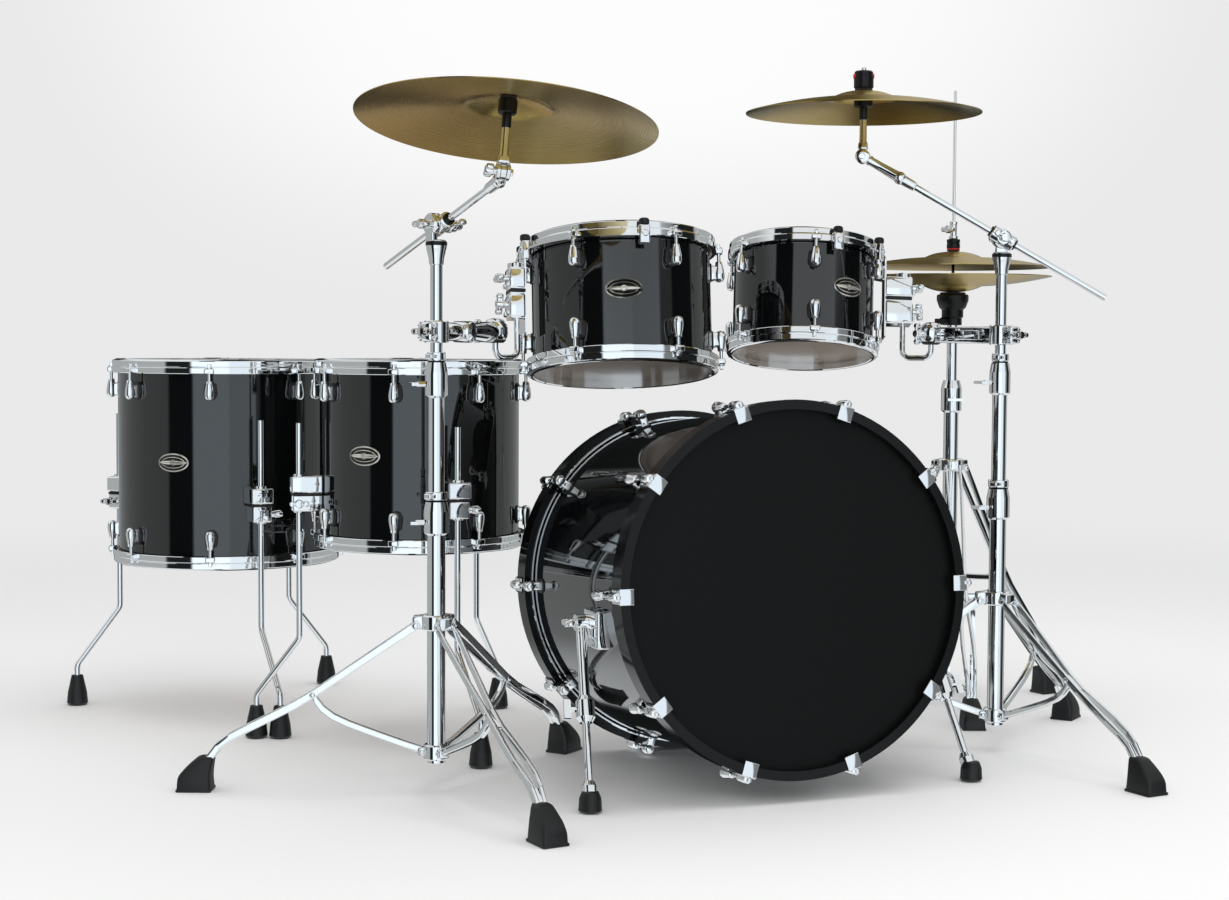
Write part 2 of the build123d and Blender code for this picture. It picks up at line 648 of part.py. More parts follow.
def frame_at(point, normal):
    """A frame at a point whose z is a given direction."""
    return Plane(point, x_dir=(Vector(1, 0, 0) - normal * normal.X).normalized(), z_dir=normal)


def boom_stand(name, foot, legs, leg_radius, boom, cymbal_at, arm):
    """A three-tier boom stand with its cymbal and the arm that carries a rack tom."""
    upright = Plane(foot)
    with BuildPart() as base_tube:
        turned(
            upright,
            (MIDDLE_TUBE + RUNNING, BASE_TUBE_END),
            (BASE_TUBE, BASE_TUBE_END),
            (BASE_TUBE, BASE_TUBE_TOP - 53),
            (20, BASE_TUBE_TOP - 49),
            (20, BASE_TUBE_TOP - 15),
            (17, BASE_TUBE_TOP),
            (MIDDLE_TUBE + RUNNING, BASE_TUBE_TOP),
        )
        clamp_bolt(foot, legs[1] + 20, 18, BASE_TUBE_TOP - 32)
    finish(base_tube.part, f"{name}_base_tube")

    with BuildPart() as middle_tube:
        turned(
            upright,
            (MIDDLE_TUBE - TUBE_WALL, MIDDLE_TUBE_END),
            (MIDDLE_TUBE, MIDDLE_TUBE_END),
            (MIDDLE_TUBE, MIDDLE_TUBE_TOP - 56),
            (18, MIDDLE_TUBE_TOP - 52),
            (18, MIDDLE_TUBE_TOP - 16),
            (15, MIDDLE_TUBE_TOP),
            (UPPER_TUBE + RUNNING, MIDDLE_TUBE_TOP),
            (UPPER_TUBE + RUNNING, MIDDLE_TUBE_TOP - 28),
            (MIDDLE_TUBE - TUBE_WALL, MIDDLE_TUBE_TOP - 28),
        )
        clamp_bolt(foot, legs[1] + 20, 16, MIDDLE_TUBE_TOP - 34)
    finish(middle_tube.part, f"{name}_middle_tube")

    boom_bearing, rise, rear, front = boom
    reach = heading(boom_bearing, cos(radians(rise)), sin(radians(rise)))
    aside = heading(boom_bearing + 90)
    pivot = foot + Vector(0, 0, TILTER_HEIGHT)
    with BuildPart() as upper_tube:
        lower_end = foot + Vector(0, 0, UPPER_TUBE_END)
        bar(lower_end, pivot - Vector(0, 0, 40), UPPER_TUBE, UPPER_TUBE - TUBE_WALL)
        cap = TILTER_HEIGHT - 49
        turned(upright, (0, cap), (13, cap), (13, cap + 16), (10, cap + 20), (0, cap + 20))
        neck_low = pivot - aside * 9 - Vector(0, 0, 38)
        block(Plane(neck_low, x_dir=heading(boom_bearing), z_dir=(0, 0, 1)), 16, 10, 36)
        bar(pivot - aside * 15, pivot - aside * 3.5, TILTER_DISC)
        bar(pivot - aside * 4, pivot + aside * 1, SPUR_PIN)
        wing_bolt(Plane(pivot - aside * 15, x_dir=heading(boom_bearing), z_dir=-aside), 6)
    finish(upper_tube.part, f"{name}_upper_tube")

    on_boom = pivot + aside * BOOM_ASIDE
    with BuildPart() as tilter:
        bar(pivot - aside * (3.5 - PASSING), pivot + aside * 4, TILTER_DISC)
        bar(on_boom - reach * 20, on_boom + reach * 20, BOOM_SLEEVE)
        bar(pivot - aside * 4, pivot + aside * 1.2, SPUR_PIN + RUNNING, mode=Mode.SUBTRACT)
        bar(on_boom - reach * 21, on_boom + reach * 21, BOOM_RADIUS + RUNNING, mode=Mode.SUBTRACT)
        bolt = on_boom + aside * (BOOM_SLEEVE - 1)
        wing_bolt(Plane(bolt, x_dir=reach, z_dir=aside), 9)
    finish(tilter.part, f"{name}_boom_tilter")

    edge, normal, radius, cymbal_rise, above = cymbal_at
    stem_frame = frame_at(edge, normal)
    stem_pivot = edge - normal * 75
    tip = on_boom + reach * front
    neck = (stem_pivot - tip).normalized()
    hinge = neck.cross(normal).normalized()
    with BuildPart() as boom_rod:
        bar(on_boom - reach * rear, tip, BOOM_RADIUS)
        bar(tip - neck * 4, stem_pivot - neck * 12, 6.5)
        tongue = Plane(stem_pivot - neck * 15, x_dir=hinge, z_dir=neck)
        block(tongue, 8, 11, 8)
        bar(tip - hinge * 7, tip + hinge * 7, 8)
        bar(stem_pivot - hinge * 4, stem_pivot + hinge * 4, 11)
        bar(stem_pivot - hinge * 5, stem_pivot + hinge * 5, 3 + RUNNING, mode=Mode.SUBTRACT)
    finish(boom_rod.part, f"{name}_boom")

    # along the stem: bell's underside, and how far the nut stands above the bell
    under_bell = cymbal_rise - CYMBAL_THICK - CYMBAL_GAP
    nut_radius, nut_low, nut_high, stem_top = above
    with BuildPart() as stem:
        for cheek in (-1, 1):
            bar(stem_pivot + hinge * cheek * (4 + PASSING), stem_pivot + hinge * cheek * 9, 11)
        bar(stem_pivot - hinge * 12, stem_pivot + hinge * 9, 3)
        block(Plane(stem_pivot + normal * 12.5, x_dir=hinge, z_dir=normal), 18, 12, 8)
        for cheek in (-1, 1):
            side = Plane(stem_pivot + hinge * cheek * 6.7 + normal * 6, x_dir=hinge, z_dir=normal)
            block(side, 4.6, 12, 8)
        wing_bolt(Plane(stem_pivot + hinge * 9, x_dir=normal, z_dir=hinge), 4, 26)
        turned(
            stem_frame,
            (0, -58),
            (STEM_RADIUS + 1, -58),
            (STEM_RADIUS + 1, under_bell - 45),
            (13, under_bell - 43),
            (13, under_bell),
            (CYMBAL_HOLE - RUNNING, under_bell),
            (CYMBAL_HOLE - RUNNING, cymbal_rise + nut_low),
            (nut_radius, cymbal_rise + nut_low),
            (nut_radius * 0.85, cymbal_rise + nut_high),
            (STEM_RADIUS, cymbal_rise + nut_high),
            (STEM_RADIUS, stem_top),
            (0, stem_top),
        )
    finish(stem.part, f"{name}_cymbal_stem")
    finish(cymbal(stem_frame, radius, cymbal_rise), f"{name}_cymbal")

    arm_bearing, arm_length = arm
    with BuildPart() as tom_arm:
        out = foot + heading(arm_bearing, arm_length, ARM_HEIGHT)
        mid = foot + heading(arm_bearing, arm_length / 2, ARM_HEIGHT)
        half_clamp = Vector(0, 0, ARM_CLAMP_TALL / 2)
        tube = foot + Vector(0, 0, ARM_HEIGHT)
        bar(tube - half_clamp, tube + half_clamp, 2 * UPPER_TUBE)
        beam = Plane(mid - Vector(0, 0, ARM_BAR_TALL / 2), x_dir=heading(arm_bearing), z_dir=(0, 0, 1))
        block(beam, arm_length, ARM_BAR_THICK, ARM_BAR_TALL)
        bar(out - Vector(0, 0, 12), out + Vector(0, 0, 17), 20)
        bar(out - Vector(0, 0, 13), out + Vector(0, 0, 12.5), BALL_RADIUS + 0.5, mode=Mode.SUBTRACT)
        bar(tube - half_clamp * 1.1, tube + half_clamp * 1.1, UPPER_TUBE + RUNNING, mode=Mode.SUBTRACT)
        wing_bolt(outward(upright, arm_bearing + 180, 18, ARM_HEIGHT), 8)
        wing_bolt(outward(Plane(out), arm_bearing + 90, 18, 4), 6)
    finish(tom_arm.part, f"{name}_tom_arm")


# middle of each cymbal's edge
left_edge = spot(-448.9, 88, TILTER_HEIGHT + 144.8)
right_edge = spot(279.4, 329.3, TILTER_HEIGHT + 215.6)
boom_stand(
    "left_stand",
    left_stand,
    (38.2, 158.2, 278.2),
    381,
    (-72.3, 21, 170, 165),
    (left_edge, Vector(0.122, 0.138, 0.983).normalized(), 228.6, 42, (9, 1, 14, 66)),
    (45, 202),
)
boom_stand(
    "right_stand",
    right_stand,
    (37.6, 157.6, 277.6),
    375,
    (155.5, 30.1, 204, 205),
    (right_edge, Vector(0, 0, 1), 203.2, 38, (17, 1, 34, 78)),
    (102, 178.5),
)
left_feet = tripod("left_stand", left_stand, (38.2, 158.2, 278.2), 381, COLLAR_HEIGHT, FOOT_COLLAR_HEIGHT)
right_feet = tripod("right_stand", right_stand, (37.6, 157.6, 277.6), 375, COLLAR_HEIGHT, FOOT_COLLAR_HEIGHT)

# ------------------------------------------------------------------ hi-hat
hihat = spot(HIHAT_X, HIHAT_Y)
hihat_frame = Plane(hihat)
hihat_bearings = (HIHAT_LEGS, HIHAT_LEGS + 120, HIHAT_LEGS - 120)
hihat_feet = tripod("hihat", hihat, hihat_bearings, HIHAT_TRIPOD, HIHAT_COLLAR, HIHAT_FOOT_COLLAR)

with BuildPart() as tripod_feet:
    add(left_feet)
    add(right_feet)
    add(hihat_feet)
finish(tripod_feet.part, "tripod_feet")

# Pedal frame: a bearing block under the tube, a rod down each side and the plate at the heel
pedal_along = heading(PEDAL_BEARING)
pedal_across = heading(PEDAL_BEARING + 90)
heel = hihat + heading(PEDAL_BEARING, PEDAL_HINGE, PEDAL_HINGE_HEIGHT)
with BuildPart() as hihat_base:
    turned(
        hihat_frame,
        (HIHAT_POLE + RUNNING, HIHAT_TUBE_END),
        (BASE_TUBE, HIHAT_TUBE_END),
        (BASE_TUBE, HIHAT_TUBE_TOP - 63),
        (20, HIHAT_TUBE_TOP - 59),
        (20, HIHAT_TUBE_TOP - 15),
        (16, HIHAT_TUBE_TOP),
        (HIHAT_POLE + RUNNING, HIHAT_TUBE_TOP),
    )
    clamp_bolt(hihat, 250, 18, HIHAT_TUBE_TOP - 37)
    cross = Plane(hihat + Vector(0, 0, 206), x_dir=pedal_across, z_dir=(0, 0, 1))
    block(cross, 106, 26, 12)
    bar(cross.origin, cross.origin + Vector(0, 0, 30), HIHAT_POLE + RUNNING, mode=Mode.SUBTRACT)
    for side in (-1, 1):
        shoulder = hihat + pedal_across * side * 49
        cheek = Plane(shoulder + Vector(0, 0, 12), x_dir=pedal_along, z_dir=(0, 0, 1))
        block(cheek, 16, 6, 200)
        foot_end = shoulder + Vector(0, 0, 17)
        bar(foot_end, foot_end + pedal_along * (PEDAL_HINGE + 12), 3.5)
        ear = heel + pedal_across * side * 49
        block(Plane(Vector(ear.X, ear.Y, 4), x_dir=pedal_along, z_dir=(0, 0, 1)), 26, 6, 30)
    bar(heel - pedal_across * 50, heel + pedal_across * 50, SPUR_PIN)
    sole = Plane(heel - Vector(0, 0, PEDAL_HINGE_HEIGHT), x_dir=pedal_along, z_dir=(0, 0, 1))
    block(sole, 60, 104, 4)
finish(hihat_base.part, "hihat_base_tube_and_frame")

with BuildPart() as hihat_upper:
    turned(hihat_frame, (8.5, 330), (HIHAT_POLE, 330), (HIHAT_POLE, 800), (8.5, 800))
finish(hihat_upper.part, "hihat_upper_tube")

with BuildPart() as hihat_seat:
    turned(
        hihat_frame,
        (HIHAT_POLE + RUNNING, 755),
        (17, 755),
        (17, 775),
        (30, 779),
        (30, 796),
        (12, HIHAT_SEAT),
        (HIHAT_POLE + RUNNING, HIHAT_SEAT),
    )
finish(hihat_seat.part, "hihat_seat")

bottom_edge = Plane(hihat + Vector(0, 0, HIHAT_BOTTOM_EDGE), x_dir=(1, 0, 0), z_dir=(0, 0, -1))
finish(cymbal(bottom_edge, HIHAT_RADIUS, HIHAT_RISE), "hihat_bottom_cymbal")
top_edge = Plane(hihat + Vector(0, 0, HIHAT_TOP_EDGE))
finish(cymbal(top_edge, HIHAT_RADIUS, HIHAT_RISE), "hihat_top_cymbal")

bell_top = HIHAT_TOP_EDGE + HIHAT_RISE
toe = hihat + Vector(0, 0, PEDAL_TOE_HEIGHT)
link_low = PEDAL_TOE_HEIGHT + 4.7  # just clear of the footboard
with BuildPart() as pull_rod:
    turned(
        hihat_frame,
        (0, link_low),
        (PULL_ROD_RADIUS, link_low),
        (PULL_ROD_RADIUS, bell_top - 24),
        (11, bell_top - 22),
        (11, bell_top - CYMBAL_THICK - CYMBAL_GAP),
        (CYMBAL_HOLE - RUNNING, bell_top - CYMBAL_THICK - CYMBAL_GAP),
        (CYMBAL_HOLE - RUNNING, bell_top + CYMBAL_GAP),
        (14, bell_top + CYMBAL_GAP),
        (14, bell_top + 14),
        (9, bell_top + 16),
        (9, bell_top + 52),
        (PULL_ROD_RADIUS, bell_top + 54),
        (PULL_ROD_RADIUS, PULL_ROD_TOP),
        (0, PULL_ROD_TOP),
    )
    wing_bolt(outward(hihat_frame, 200, 8, bell_top + 34), 5, 24)
    block(Plane(hihat + Vector(0, 0, link_low), x_dir=pedal_across, z_dir=(0, 0, 1)), 16, 8, 10)
finish(pull_rod.part, "hihat_pull_rod")

with BuildPart() as footboard:
    run = toe - heel
    slope = run.normalized()
    board = Plane(heel, x_dir=slope, z_dir=slope.cross(pedal_across))
    with BuildSketch(board) as tread:
        with Locations((run.length / 2 + 10, 0)):
            Rectangle(run.length - 12, PEDAL_WIDTH)
    extrude(tread.sketch, amount=3, both=True)
    bar(heel - pedal_across * 45, heel + pedal_across * 45, 9)
    with BuildSketch(board) as tongue:
        with Locations((10, 0)):
            Rectangle(20, PEDAL_WIDTH)
    extrude(tongue.sketch, amount=3, both=True)
    bar(heel - pedal_across * 46, heel + pedal_across * 46, SPUR_PIN + RUNNING, mode=Mode.SUBTRACT)
finish(footboard.part, "hihat_footboard")
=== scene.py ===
import json
from math import cos, pi, radians, sin

import bpy
from mathutils import Matrix, Vector


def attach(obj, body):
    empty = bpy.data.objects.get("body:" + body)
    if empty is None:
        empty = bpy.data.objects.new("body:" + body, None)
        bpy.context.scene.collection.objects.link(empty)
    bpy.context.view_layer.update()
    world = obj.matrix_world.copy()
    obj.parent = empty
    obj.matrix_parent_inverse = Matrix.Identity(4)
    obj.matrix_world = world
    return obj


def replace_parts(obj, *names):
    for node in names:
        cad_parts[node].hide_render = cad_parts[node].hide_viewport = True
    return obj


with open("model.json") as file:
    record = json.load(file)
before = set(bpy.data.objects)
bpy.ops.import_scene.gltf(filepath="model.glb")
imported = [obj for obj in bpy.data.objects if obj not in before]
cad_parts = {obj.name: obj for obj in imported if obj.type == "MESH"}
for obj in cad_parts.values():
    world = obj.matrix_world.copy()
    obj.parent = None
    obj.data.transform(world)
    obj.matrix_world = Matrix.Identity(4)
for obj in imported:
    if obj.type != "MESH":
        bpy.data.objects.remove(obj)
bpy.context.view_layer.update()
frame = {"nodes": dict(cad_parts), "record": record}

KIT_X = 8.72
KIT_Y = -579.25
CAMERA_SPOT = (-1417.1, -2864.9, 717.8)
CAMERA_BEARING = -21.18
CAMERA_PITCH = 3.083
CAMERA_ROLL = 0.286
CAMERA_LENS = 60.34


def spot(x, y, z=0.0):
    return Vector(((KIT_X + x) / 1000, (KIT_Y + y) / 1000, z / 1000))


def heading(bearing, length=1.0, rise=0.0):
    """A vector at a bearing from +X seen from above, in the units given."""
    return Vector((length * cos(radians(bearing)), length * sin(radians(bearing)), rise))


bpy.ops.object.camera_add(location=spot(*CAMERA_SPOT))
camera = bpy.context.object
camera.name = "camera"
turn = Matrix.Rotation(radians(CAMERA_BEARING), 4, "Z")
tilt = Matrix.Rotation(radians(90 - CAMERA_PITCH), 4, "X")
roll = Matrix.Rotation(radians(CAMERA_ROLL), 4, "Z")
camera.rotation_euler = (turn @ tilt @ roll).to_euler()
camera.data.lens = CAMERA_LENS
camera.data.sensor_width = 36
camera.data.clip_end = 60
bpy.context.scene.camera = camera
bpy.context.scene.view_settings.view_transform = "Standard"


# ---------------------------------------- materials
def node(tree, kind, inputs=(), **values):
    """Add a shader node, set what is named, and give its inputs numbers or other nodes' outputs."""
    made = tree.nodes.new(kind)
    for key, value in values.items():
        setattr(made, key, value)
    feed(tree, made, inputs)
    return made


def feed(tree, made, inputs):
    """Give a node's inputs numbers, colours or other nodes' outputs."""
    for key, value in dict(inputs).items():
        if isinstance(value, bpy.types.NodeSocket):
            tree.links.new(value, made.inputs[key])
        else:
            made.inputs[key].default_value = value


def new_material(name):
    """A material with nothing set, its node tree and its shader."""
    material = bpy.data.materials.new(name)
    material.use_nodes = True
    return material, material.node_tree, material.node_tree.nodes["Principled BSDF"]


def grain(tree, scale, detail=4.0, stretch=(1, 1, 1)):
    """Noise on the object's own coordinates."""
    place = node(tree, "ShaderNodeTexCoord")
    size = node(tree, "ShaderNodeMapping", {"Scale": stretch, "Vector": place.outputs["Object"]})
    noise = {"Scale": scale, "Detail": detail, "Vector": size.outputs["Vector"]}
    return node(tree, "ShaderNodeTexNoise", noise).outputs["Fac"]


def between(tree, source, low, high):
    """Map a 0 to 1 value to a range."""
    span = {"To Min": low, "To Max": high, "Value": source}
    return node(tree, "ShaderNodeMapRange", span).outputs["Result"]


def eased(tree, source, low, high):
    """Rise smoothly from 0 to 1 as a value passes from one limit to the other."""
    span = {"From Min": low, "From Max": high, "Value": source}
    return node(tree, "ShaderNodeMapRange", span, interpolation_type="SMOOTHSTEP").outputs["Result"]


def mixed(tree, source, first, second):
    """Blend two colours by a value."""
    tints = {"A": (*first, 1), "B": (*second, 1), "Factor": source}
    return node(tree, "ShaderNodeMix", tints, data_type="RGBA").outputs["Result"]


def bumped(tree, shader, source, strength, distance):
    """Drive a shader's bump with a value."""
    bump = node(tree, "ShaderNodeBump", {"Strength": strength, "Distance": distance, "Height": source})
    tree.links.new(bump.outputs["Normal"], shader.inputs["Normal"])


def finish(name, tints, pattern, rough, relief=None, rough_pattern=None, relief_pattern=None, look=()):
    """A material whose tint, roughness and relief follow noise: one pattern, or each its own."""
    material, tree, shader = new_material(name)
    feed(tree, shader, look)
    main = grain(tree, *pattern)
    worn = grain(tree, *rough_pattern) if rough_pattern else main
    feed(tree, shader, {"Base Color": mixed(tree, main, *tints), "Roughness": between(tree, worn, *rough)})
    if relief:
        bumped(tree, shader, grain(tree, *relief_pattern) if relief_pattern else main, *relief)
    return material


def chrome_plate():
    """Bright plate with a faint haze."""
    tints = ((0.86, 0.87, 0.88), (0.93, 0.93, 0.93))
    look = {"Metallic": 1.0}
    return finish("chrome_plate", tints, (9.0,), (0.02, 0.07), (0.02, 0.001), None, (60.0,), look)


def piano_lacquer():
    """Deep gloss over a shell that is not quite even."""
    tints = ((0.0022, 0.0026, 0.0029), (0.0038, 0.0044, 0.0048))
    look = {"IOR": 1.72, "Coat Weight": 0.2, "Coat Roughness": 0.02}
    return finish("black_lacquer", tints, (5.0,), (0.02, 0.05), (0.03, 0.004), (14.0,), (3.0,), look)


def wooden_hoop_lacquer():
    """The bass hoops' deeper black, lacquered over maple whose grain just shows."""
    tints = ((0.0022, 0.0023, 0.0025), (0.0045, 0.0045, 0.005))
    wood = (40.0, 5.0, (1, 6, 6))
    look = {"Specular IOR Level": 0.22}
    return finish("hoop_lacquer", tints, wood, (0.08, 0.14), (0.03, 0.0006), (14.0,), None, look)


def black_film():
    """The bass heads' film, matt and very fine."""
    tints = ((0.0038,) * 3, (0.006,) * 3)
    look = {"Specular IOR Level": 0.12}
    return finish("bass_head_film", tints, (900.0, 2.0), (0.34, 0.42), (0.05, 0.0003), look=look)


def clear_film():
    """The toms' cloudy film."""
    tints = ((0.44, 0.375, 0.32), (0.53, 0.455, 0.39))
    look = {"Specular IOR Level": 0.3}
    return finish("tom_head_film", tints, (7.0,), (0.16, 0.26), (0.03, 0.002), (30.0,), None, look)


def lathed_bronze(name, hub, upward):
    """Hammered bronze, lathed in fine rings about its hub, whose grooves spread the light in wedges."""
    material, tree, shader = new_material(name)
    spin_axis = Vector(upward).normalized()
    on_cymbal = node(tree, "ShaderNodeTexCoord").outputs["Object"]
    turn = spin_axis.to_track_quat("Z", "X").to_euler()
    centred = {"Location": hub, "Rotation": turn, "Vector": on_cymbal}
    from_hub = node(tree, "ShaderNodeMapping", centred, vector_type="TEXTURE").outputs["Vector"]
    flat = node(tree, "ShaderNodeVectorMath", {0: from_hub, 1: (1, 1, 0)}, operation="MULTIPLY")
    out = node(tree, "ShaderNodeVectorMath", {0: flat.outputs["Vector"]}, operation="LENGTH").outputs["Value"]
    rings = {"Scale": 900.0, "Detail": 3.0, "W": out}
    groove = node(tree, "ShaderNodeTexNoise", rings, noise_dimensions="1D").outputs["Fac"]
    bands = {"Scale": 24.0, "Detail": 2.0, "W": out}
    band = node(tree, "ShaderNodeTexNoise", bands, noise_dimensions="1D").outputs["Fac"]
    radial = node(tree, "ShaderNodeVectorMath", {0: on_cymbal, 1: hub}, operation="SUBTRACT")
    crossed = {0: radial.outputs["Vector"], 1: spin_axis}
    along_groove = node(tree, "ShaderNodeVectorMath", crossed, operation="CROSS_PRODUCT")
    direction = {"Vector": along_groove.outputs["Vector"]}
    sense = {"vector_type": "VECTOR", "convert_from": "OBJECT", "convert_to": "WORLD"}
    look = {
        "Metallic": 1.0,
        "Base Color": mixed(tree, band, (0.47, 0.335, 0.105), (0.53, 0.385, 0.13)),
        "Roughness": between(tree, groove, 0.25, 0.31),
        "Anisotropic": 0.9,
        "Anisotropic Rotation": 0.25,
        "Tangent": node(tree, "ShaderNodeVectorTransform", direction, **sense).outputs["Vector"],
    }
    feed(tree, shader, look)
    bumped(tree, shader, grain(tree, 34.0, 1.0), 0.10, 0.002)
    return material


def moulded_rubber():
    """Boots, pads and gaskets."""
    tints = ((0.0035, 0.0035, 0.004), (0.009, 0.009, 0.009))
    return finish("moulded_rubber", tints, (350.0, 3.0), (0.42, 0.58), (0.12, 0.0004))


def moulded_plastic():
    """Nuts, bushes and rings."""
    tints = ((0.003,) * 3, (0.006,) * 3)
    look = {"Specular IOR Level": 0.3}
    return finish("moulded_plastic", tints, (500.0, 3.0), (0.28, 0.4), (0.06, 0.0003), look=look)


def red_plastic():
    """The clutch's ring and a nut's tabs."""
    tints = ((0.55, 0.012, 0.010), (0.72, 0.022, 0.018))
    return finish("red_plastic", tints, (400.0, 3.0), (0.3, 0.42))


def wool_felt():
    """Pressed black felt: matt, with a loose surface."""
    tints = ((0.006, 0.006, 0.006), (0.022, 0.021, 0.020))
    look = {"Sheen Weight": 0.15}
    return finish("wool_felt", tints, (900.0, 6.0, (1, 1, 0.3)), (0.85, 0.98), (0.5, 0.0008), look=look)


def badge_metal():
    """Aged brass of the badge's rim and grommet."""
    tints = ((0.70, 0.66, 0.58), (0.88, 0.84, 0.76))
    look = {"Metallic": 1.0}
    return finish("badge_brass", tints, (160.0, 5.0), (0.22, 0.4), (0.1, 0.0003), look=look)


def coat(piece, material):
    """Give a piece one material in place of what it had."""
    piece.data.materials.clear()
    piece.data.materials.append(material)


# Each finish is a slot and the material in it
CHROME = ("chrome", chrome_plate())
RED = ("black_plastic", red_plastic())
FELT = ("black_rubber", wool_felt())
BRASS = ("chrome", badge_metal())
LACQUER = ("black_lacquer", piano_lacquer())
HOOP_LACQUER = ("black_hoop", wooden_hoop_lacquer())
BASS_FILM = ("black_head", black_film())
TOM_FILM = ("clear_head", clear_film())
RUBBER = ("black_rubber", moulded_rubber())
PLASTIC = ("black_plastic", moulded_plastic())
by_slot = dict((LACQUER, HOOP_LACQUER, BASS_FILM, TOM_FILM, CHROME, RUBBER, PLASTIC))
for row in frame["record"]["subparts"]:
    if row["material_slot"] in by_slot:
        coat(frame["nodes"][row["node"]], by_slot[row["material_slot"]])

HIHAT = (664.0, 674.0)
CYMBALS = {
    "left_stand_cymbal": ((-448.9, 88, 1039.8), (0.122, 0.138, 0.983)),
    "right_stand_cymbal": ((279.4, 329.3, 1110.6), (0, 0, 1)),
    "hihat_top_cymbal": ((*HIHAT, 862), (0, 0, 1)),
    "hihat_bottom_cymbal": ((*HIHAT, 843), (0, 0, -1)),
}
for name, (hub, upward) in CYMBALS.items():
    coat(frame["nodes"][name], lathed_bronze(f"{name}_bronze", spot(*hub), upward))

# ---------------------------------------- workshop
# Pieces are made at the origin in millimetres and then set in their places in metres.
MILLIMETRES = Matrix.Scale(0.001, 4)
ACROSS_Y = Matrix.Rotation(radians(-90), 4, "X")  # turns a piece made along z to lie along y
UP = Vector((0, 0, 1))
ORIGIN = Matrix.Identity(4)
AS_MADE = (ORIGIN,)  # the place of a piece that is already where it belongs


def place(x, y, z=0.0):
    return Vector((KIT_X + x, KIT_Y + y, z))


def shift(x, y, z):
    """A move in millimetres."""
    return Matrix.Translation((x, y, z))


def frame_at(origin, upward, across=(1, 0, 0)):
    """A frame in millimetres whose z is a given direction and whose x leans towards another."""
    z_axis = Vector(upward).normalized()
    x_axis = Vector(across)
    x_axis = (x_axis - z_axis * x_axis.dot(z_axis)).normalized()
    made = Matrix((x_axis, z_axis.cross(x_axis), z_axis)).transposed().to_4x4()
    made.translation = origin
    return made


def axis(matrix, column):
    """One of a frame's directions: 0 for x, 1 for y, 2 for z."""
    return matrix.col[column].to_3d()


def outward(matrix, bearing, radius, height):
    """A frame that faces away from another's axis, with its y along that axis."""
    spoke = axis(matrix, 0) * cos(radians(bearing)) + axis(matrix, 1) * sin(radians(bearing))
    origin = matrix.translation + spoke * radius + axis(matrix, 2) * height
    return frame_at(origin, spoke, axis(matrix, 2).cross(spoke))


def both_ends(matrix, length):
    """A drum's near end and far end, each with z out of the drum, and the sense of its bearings."""
    far = frame_at(matrix.translation - axis(matrix, 2) * length, -axis(matrix, 2), axis(matrix, 0))
    return (matrix, 1), (far, -1)


def blank(add, **settings):
    """Add a primitive with nothing else selected, and open it for editing."""
    bpy.ops.object.select_all(action="DESELECT")
    add(**settings)
    bpy.ops.object.mode_set(mode="EDIT")


def pull(x, y, z, grow):
    """Extrude what is selected, and scale its new end."""
    bpy.ops.mesh.extrude_region_move(TRANSFORM_OT_translate={"value": (x, y, z)})
    bpy.ops.transform.resize(value=grow)


def pick(elements, test):
    """In edit mode, select only the faces or vertices that pass a test."""
    bpy.ops.mesh.select_all(action="DESELECT")
    bpy.ops.object.mode_set(mode="OBJECT")
    for element in getattr(bpy.context.object.data, elements):
        element.select = test(element)
    bpy.ops.object.mode_set(mode="EDIT")


def faces_up(face):
    """Whether a face looks up."""
    return face.normal.z > 0.9


def ease_edges(offset, segments):
    """Bevel every edge."""
    bpy.ops.mesh.select_all(action="SELECT")
    bpy.ops.mesh.bevel(offset=offset, segments=segments, affect="EDGES")


def moved(piece, matrix):
    """Move a piece, still in millimetres."""
    piece.data.transform(matrix)
    return piece


def stop_editing(smooth, at=ORIGIN):
    """Turn every face outwards, make the piece smooth up to an angle, and set it in a place."""
    bpy.ops.mesh.select_all(action="SELECT")
    bpy.ops.mesh.remove_doubles(threshold=0.0005)
    bpy.ops.mesh.normals_make_consistent(inside=False)
    bpy.ops.object.mode_set(mode="OBJECT")
    bpy.ops.object.transform_apply(location=True, rotation=True, scale=True)
    bpy.ops.object.shade_smooth_by_angle(angle=radians(smooth))
    return moved(bpy.context.object, at)


def turned(outline, sides=32, smooth=38, fill="NGON", at=ORIGIN):
    """Turn a solid piece: a round blank drawn from one (radius, height) of the outline to the next."""
    radius, height = outline[0]
    add = bpy.ops.mesh.primitive_circle_add
    blank(add, vertices=sides, radius=radius, location=(0, 0, height), fill_type=fill)
    for wider, higher in outline[1:]:
        grow = wider / radius
        pull(0, 0, higher - height, (grow, grow, 1))
        radius, height = wider, higher
    return stop_editing(smooth, at)


def turned_ring(outline, sides=96, smooth=30, at=ORIGIN):
    """Turn a ring: a round wire drawn along a closed outline of (radius, height) points."""
    return turned(outline + outline[:1], sides, smooth, "NOTHING", at)


def eased_block(width, depth, height, ease, top=(1, 1), segments=3, at=ORIGIN):
    """A block that stands on the origin, drawn in towards its top, with its edges eased."""
    blank(bpy.ops.mesh.primitive_cube_add, size=1, location=(0, 0, height / 2))
    bpy.ops.transform.resize(value=(width, depth, height))
    pick("polygons", faces_up)
    bpy.ops.transform.resize(value=(*top, 1))
    ease_edges(ease, segments)
    return stop_editing(50, at)


def joined(pieces):
    """One object from several."""
    bpy.ops.object.select_all(action="DESELECT")
    for piece in pieces:
        piece.select_set(True)
    bpy.context.view_layer.objects.active = pieces[0]
    bpy.ops.object.join()
    return bpy.context.object


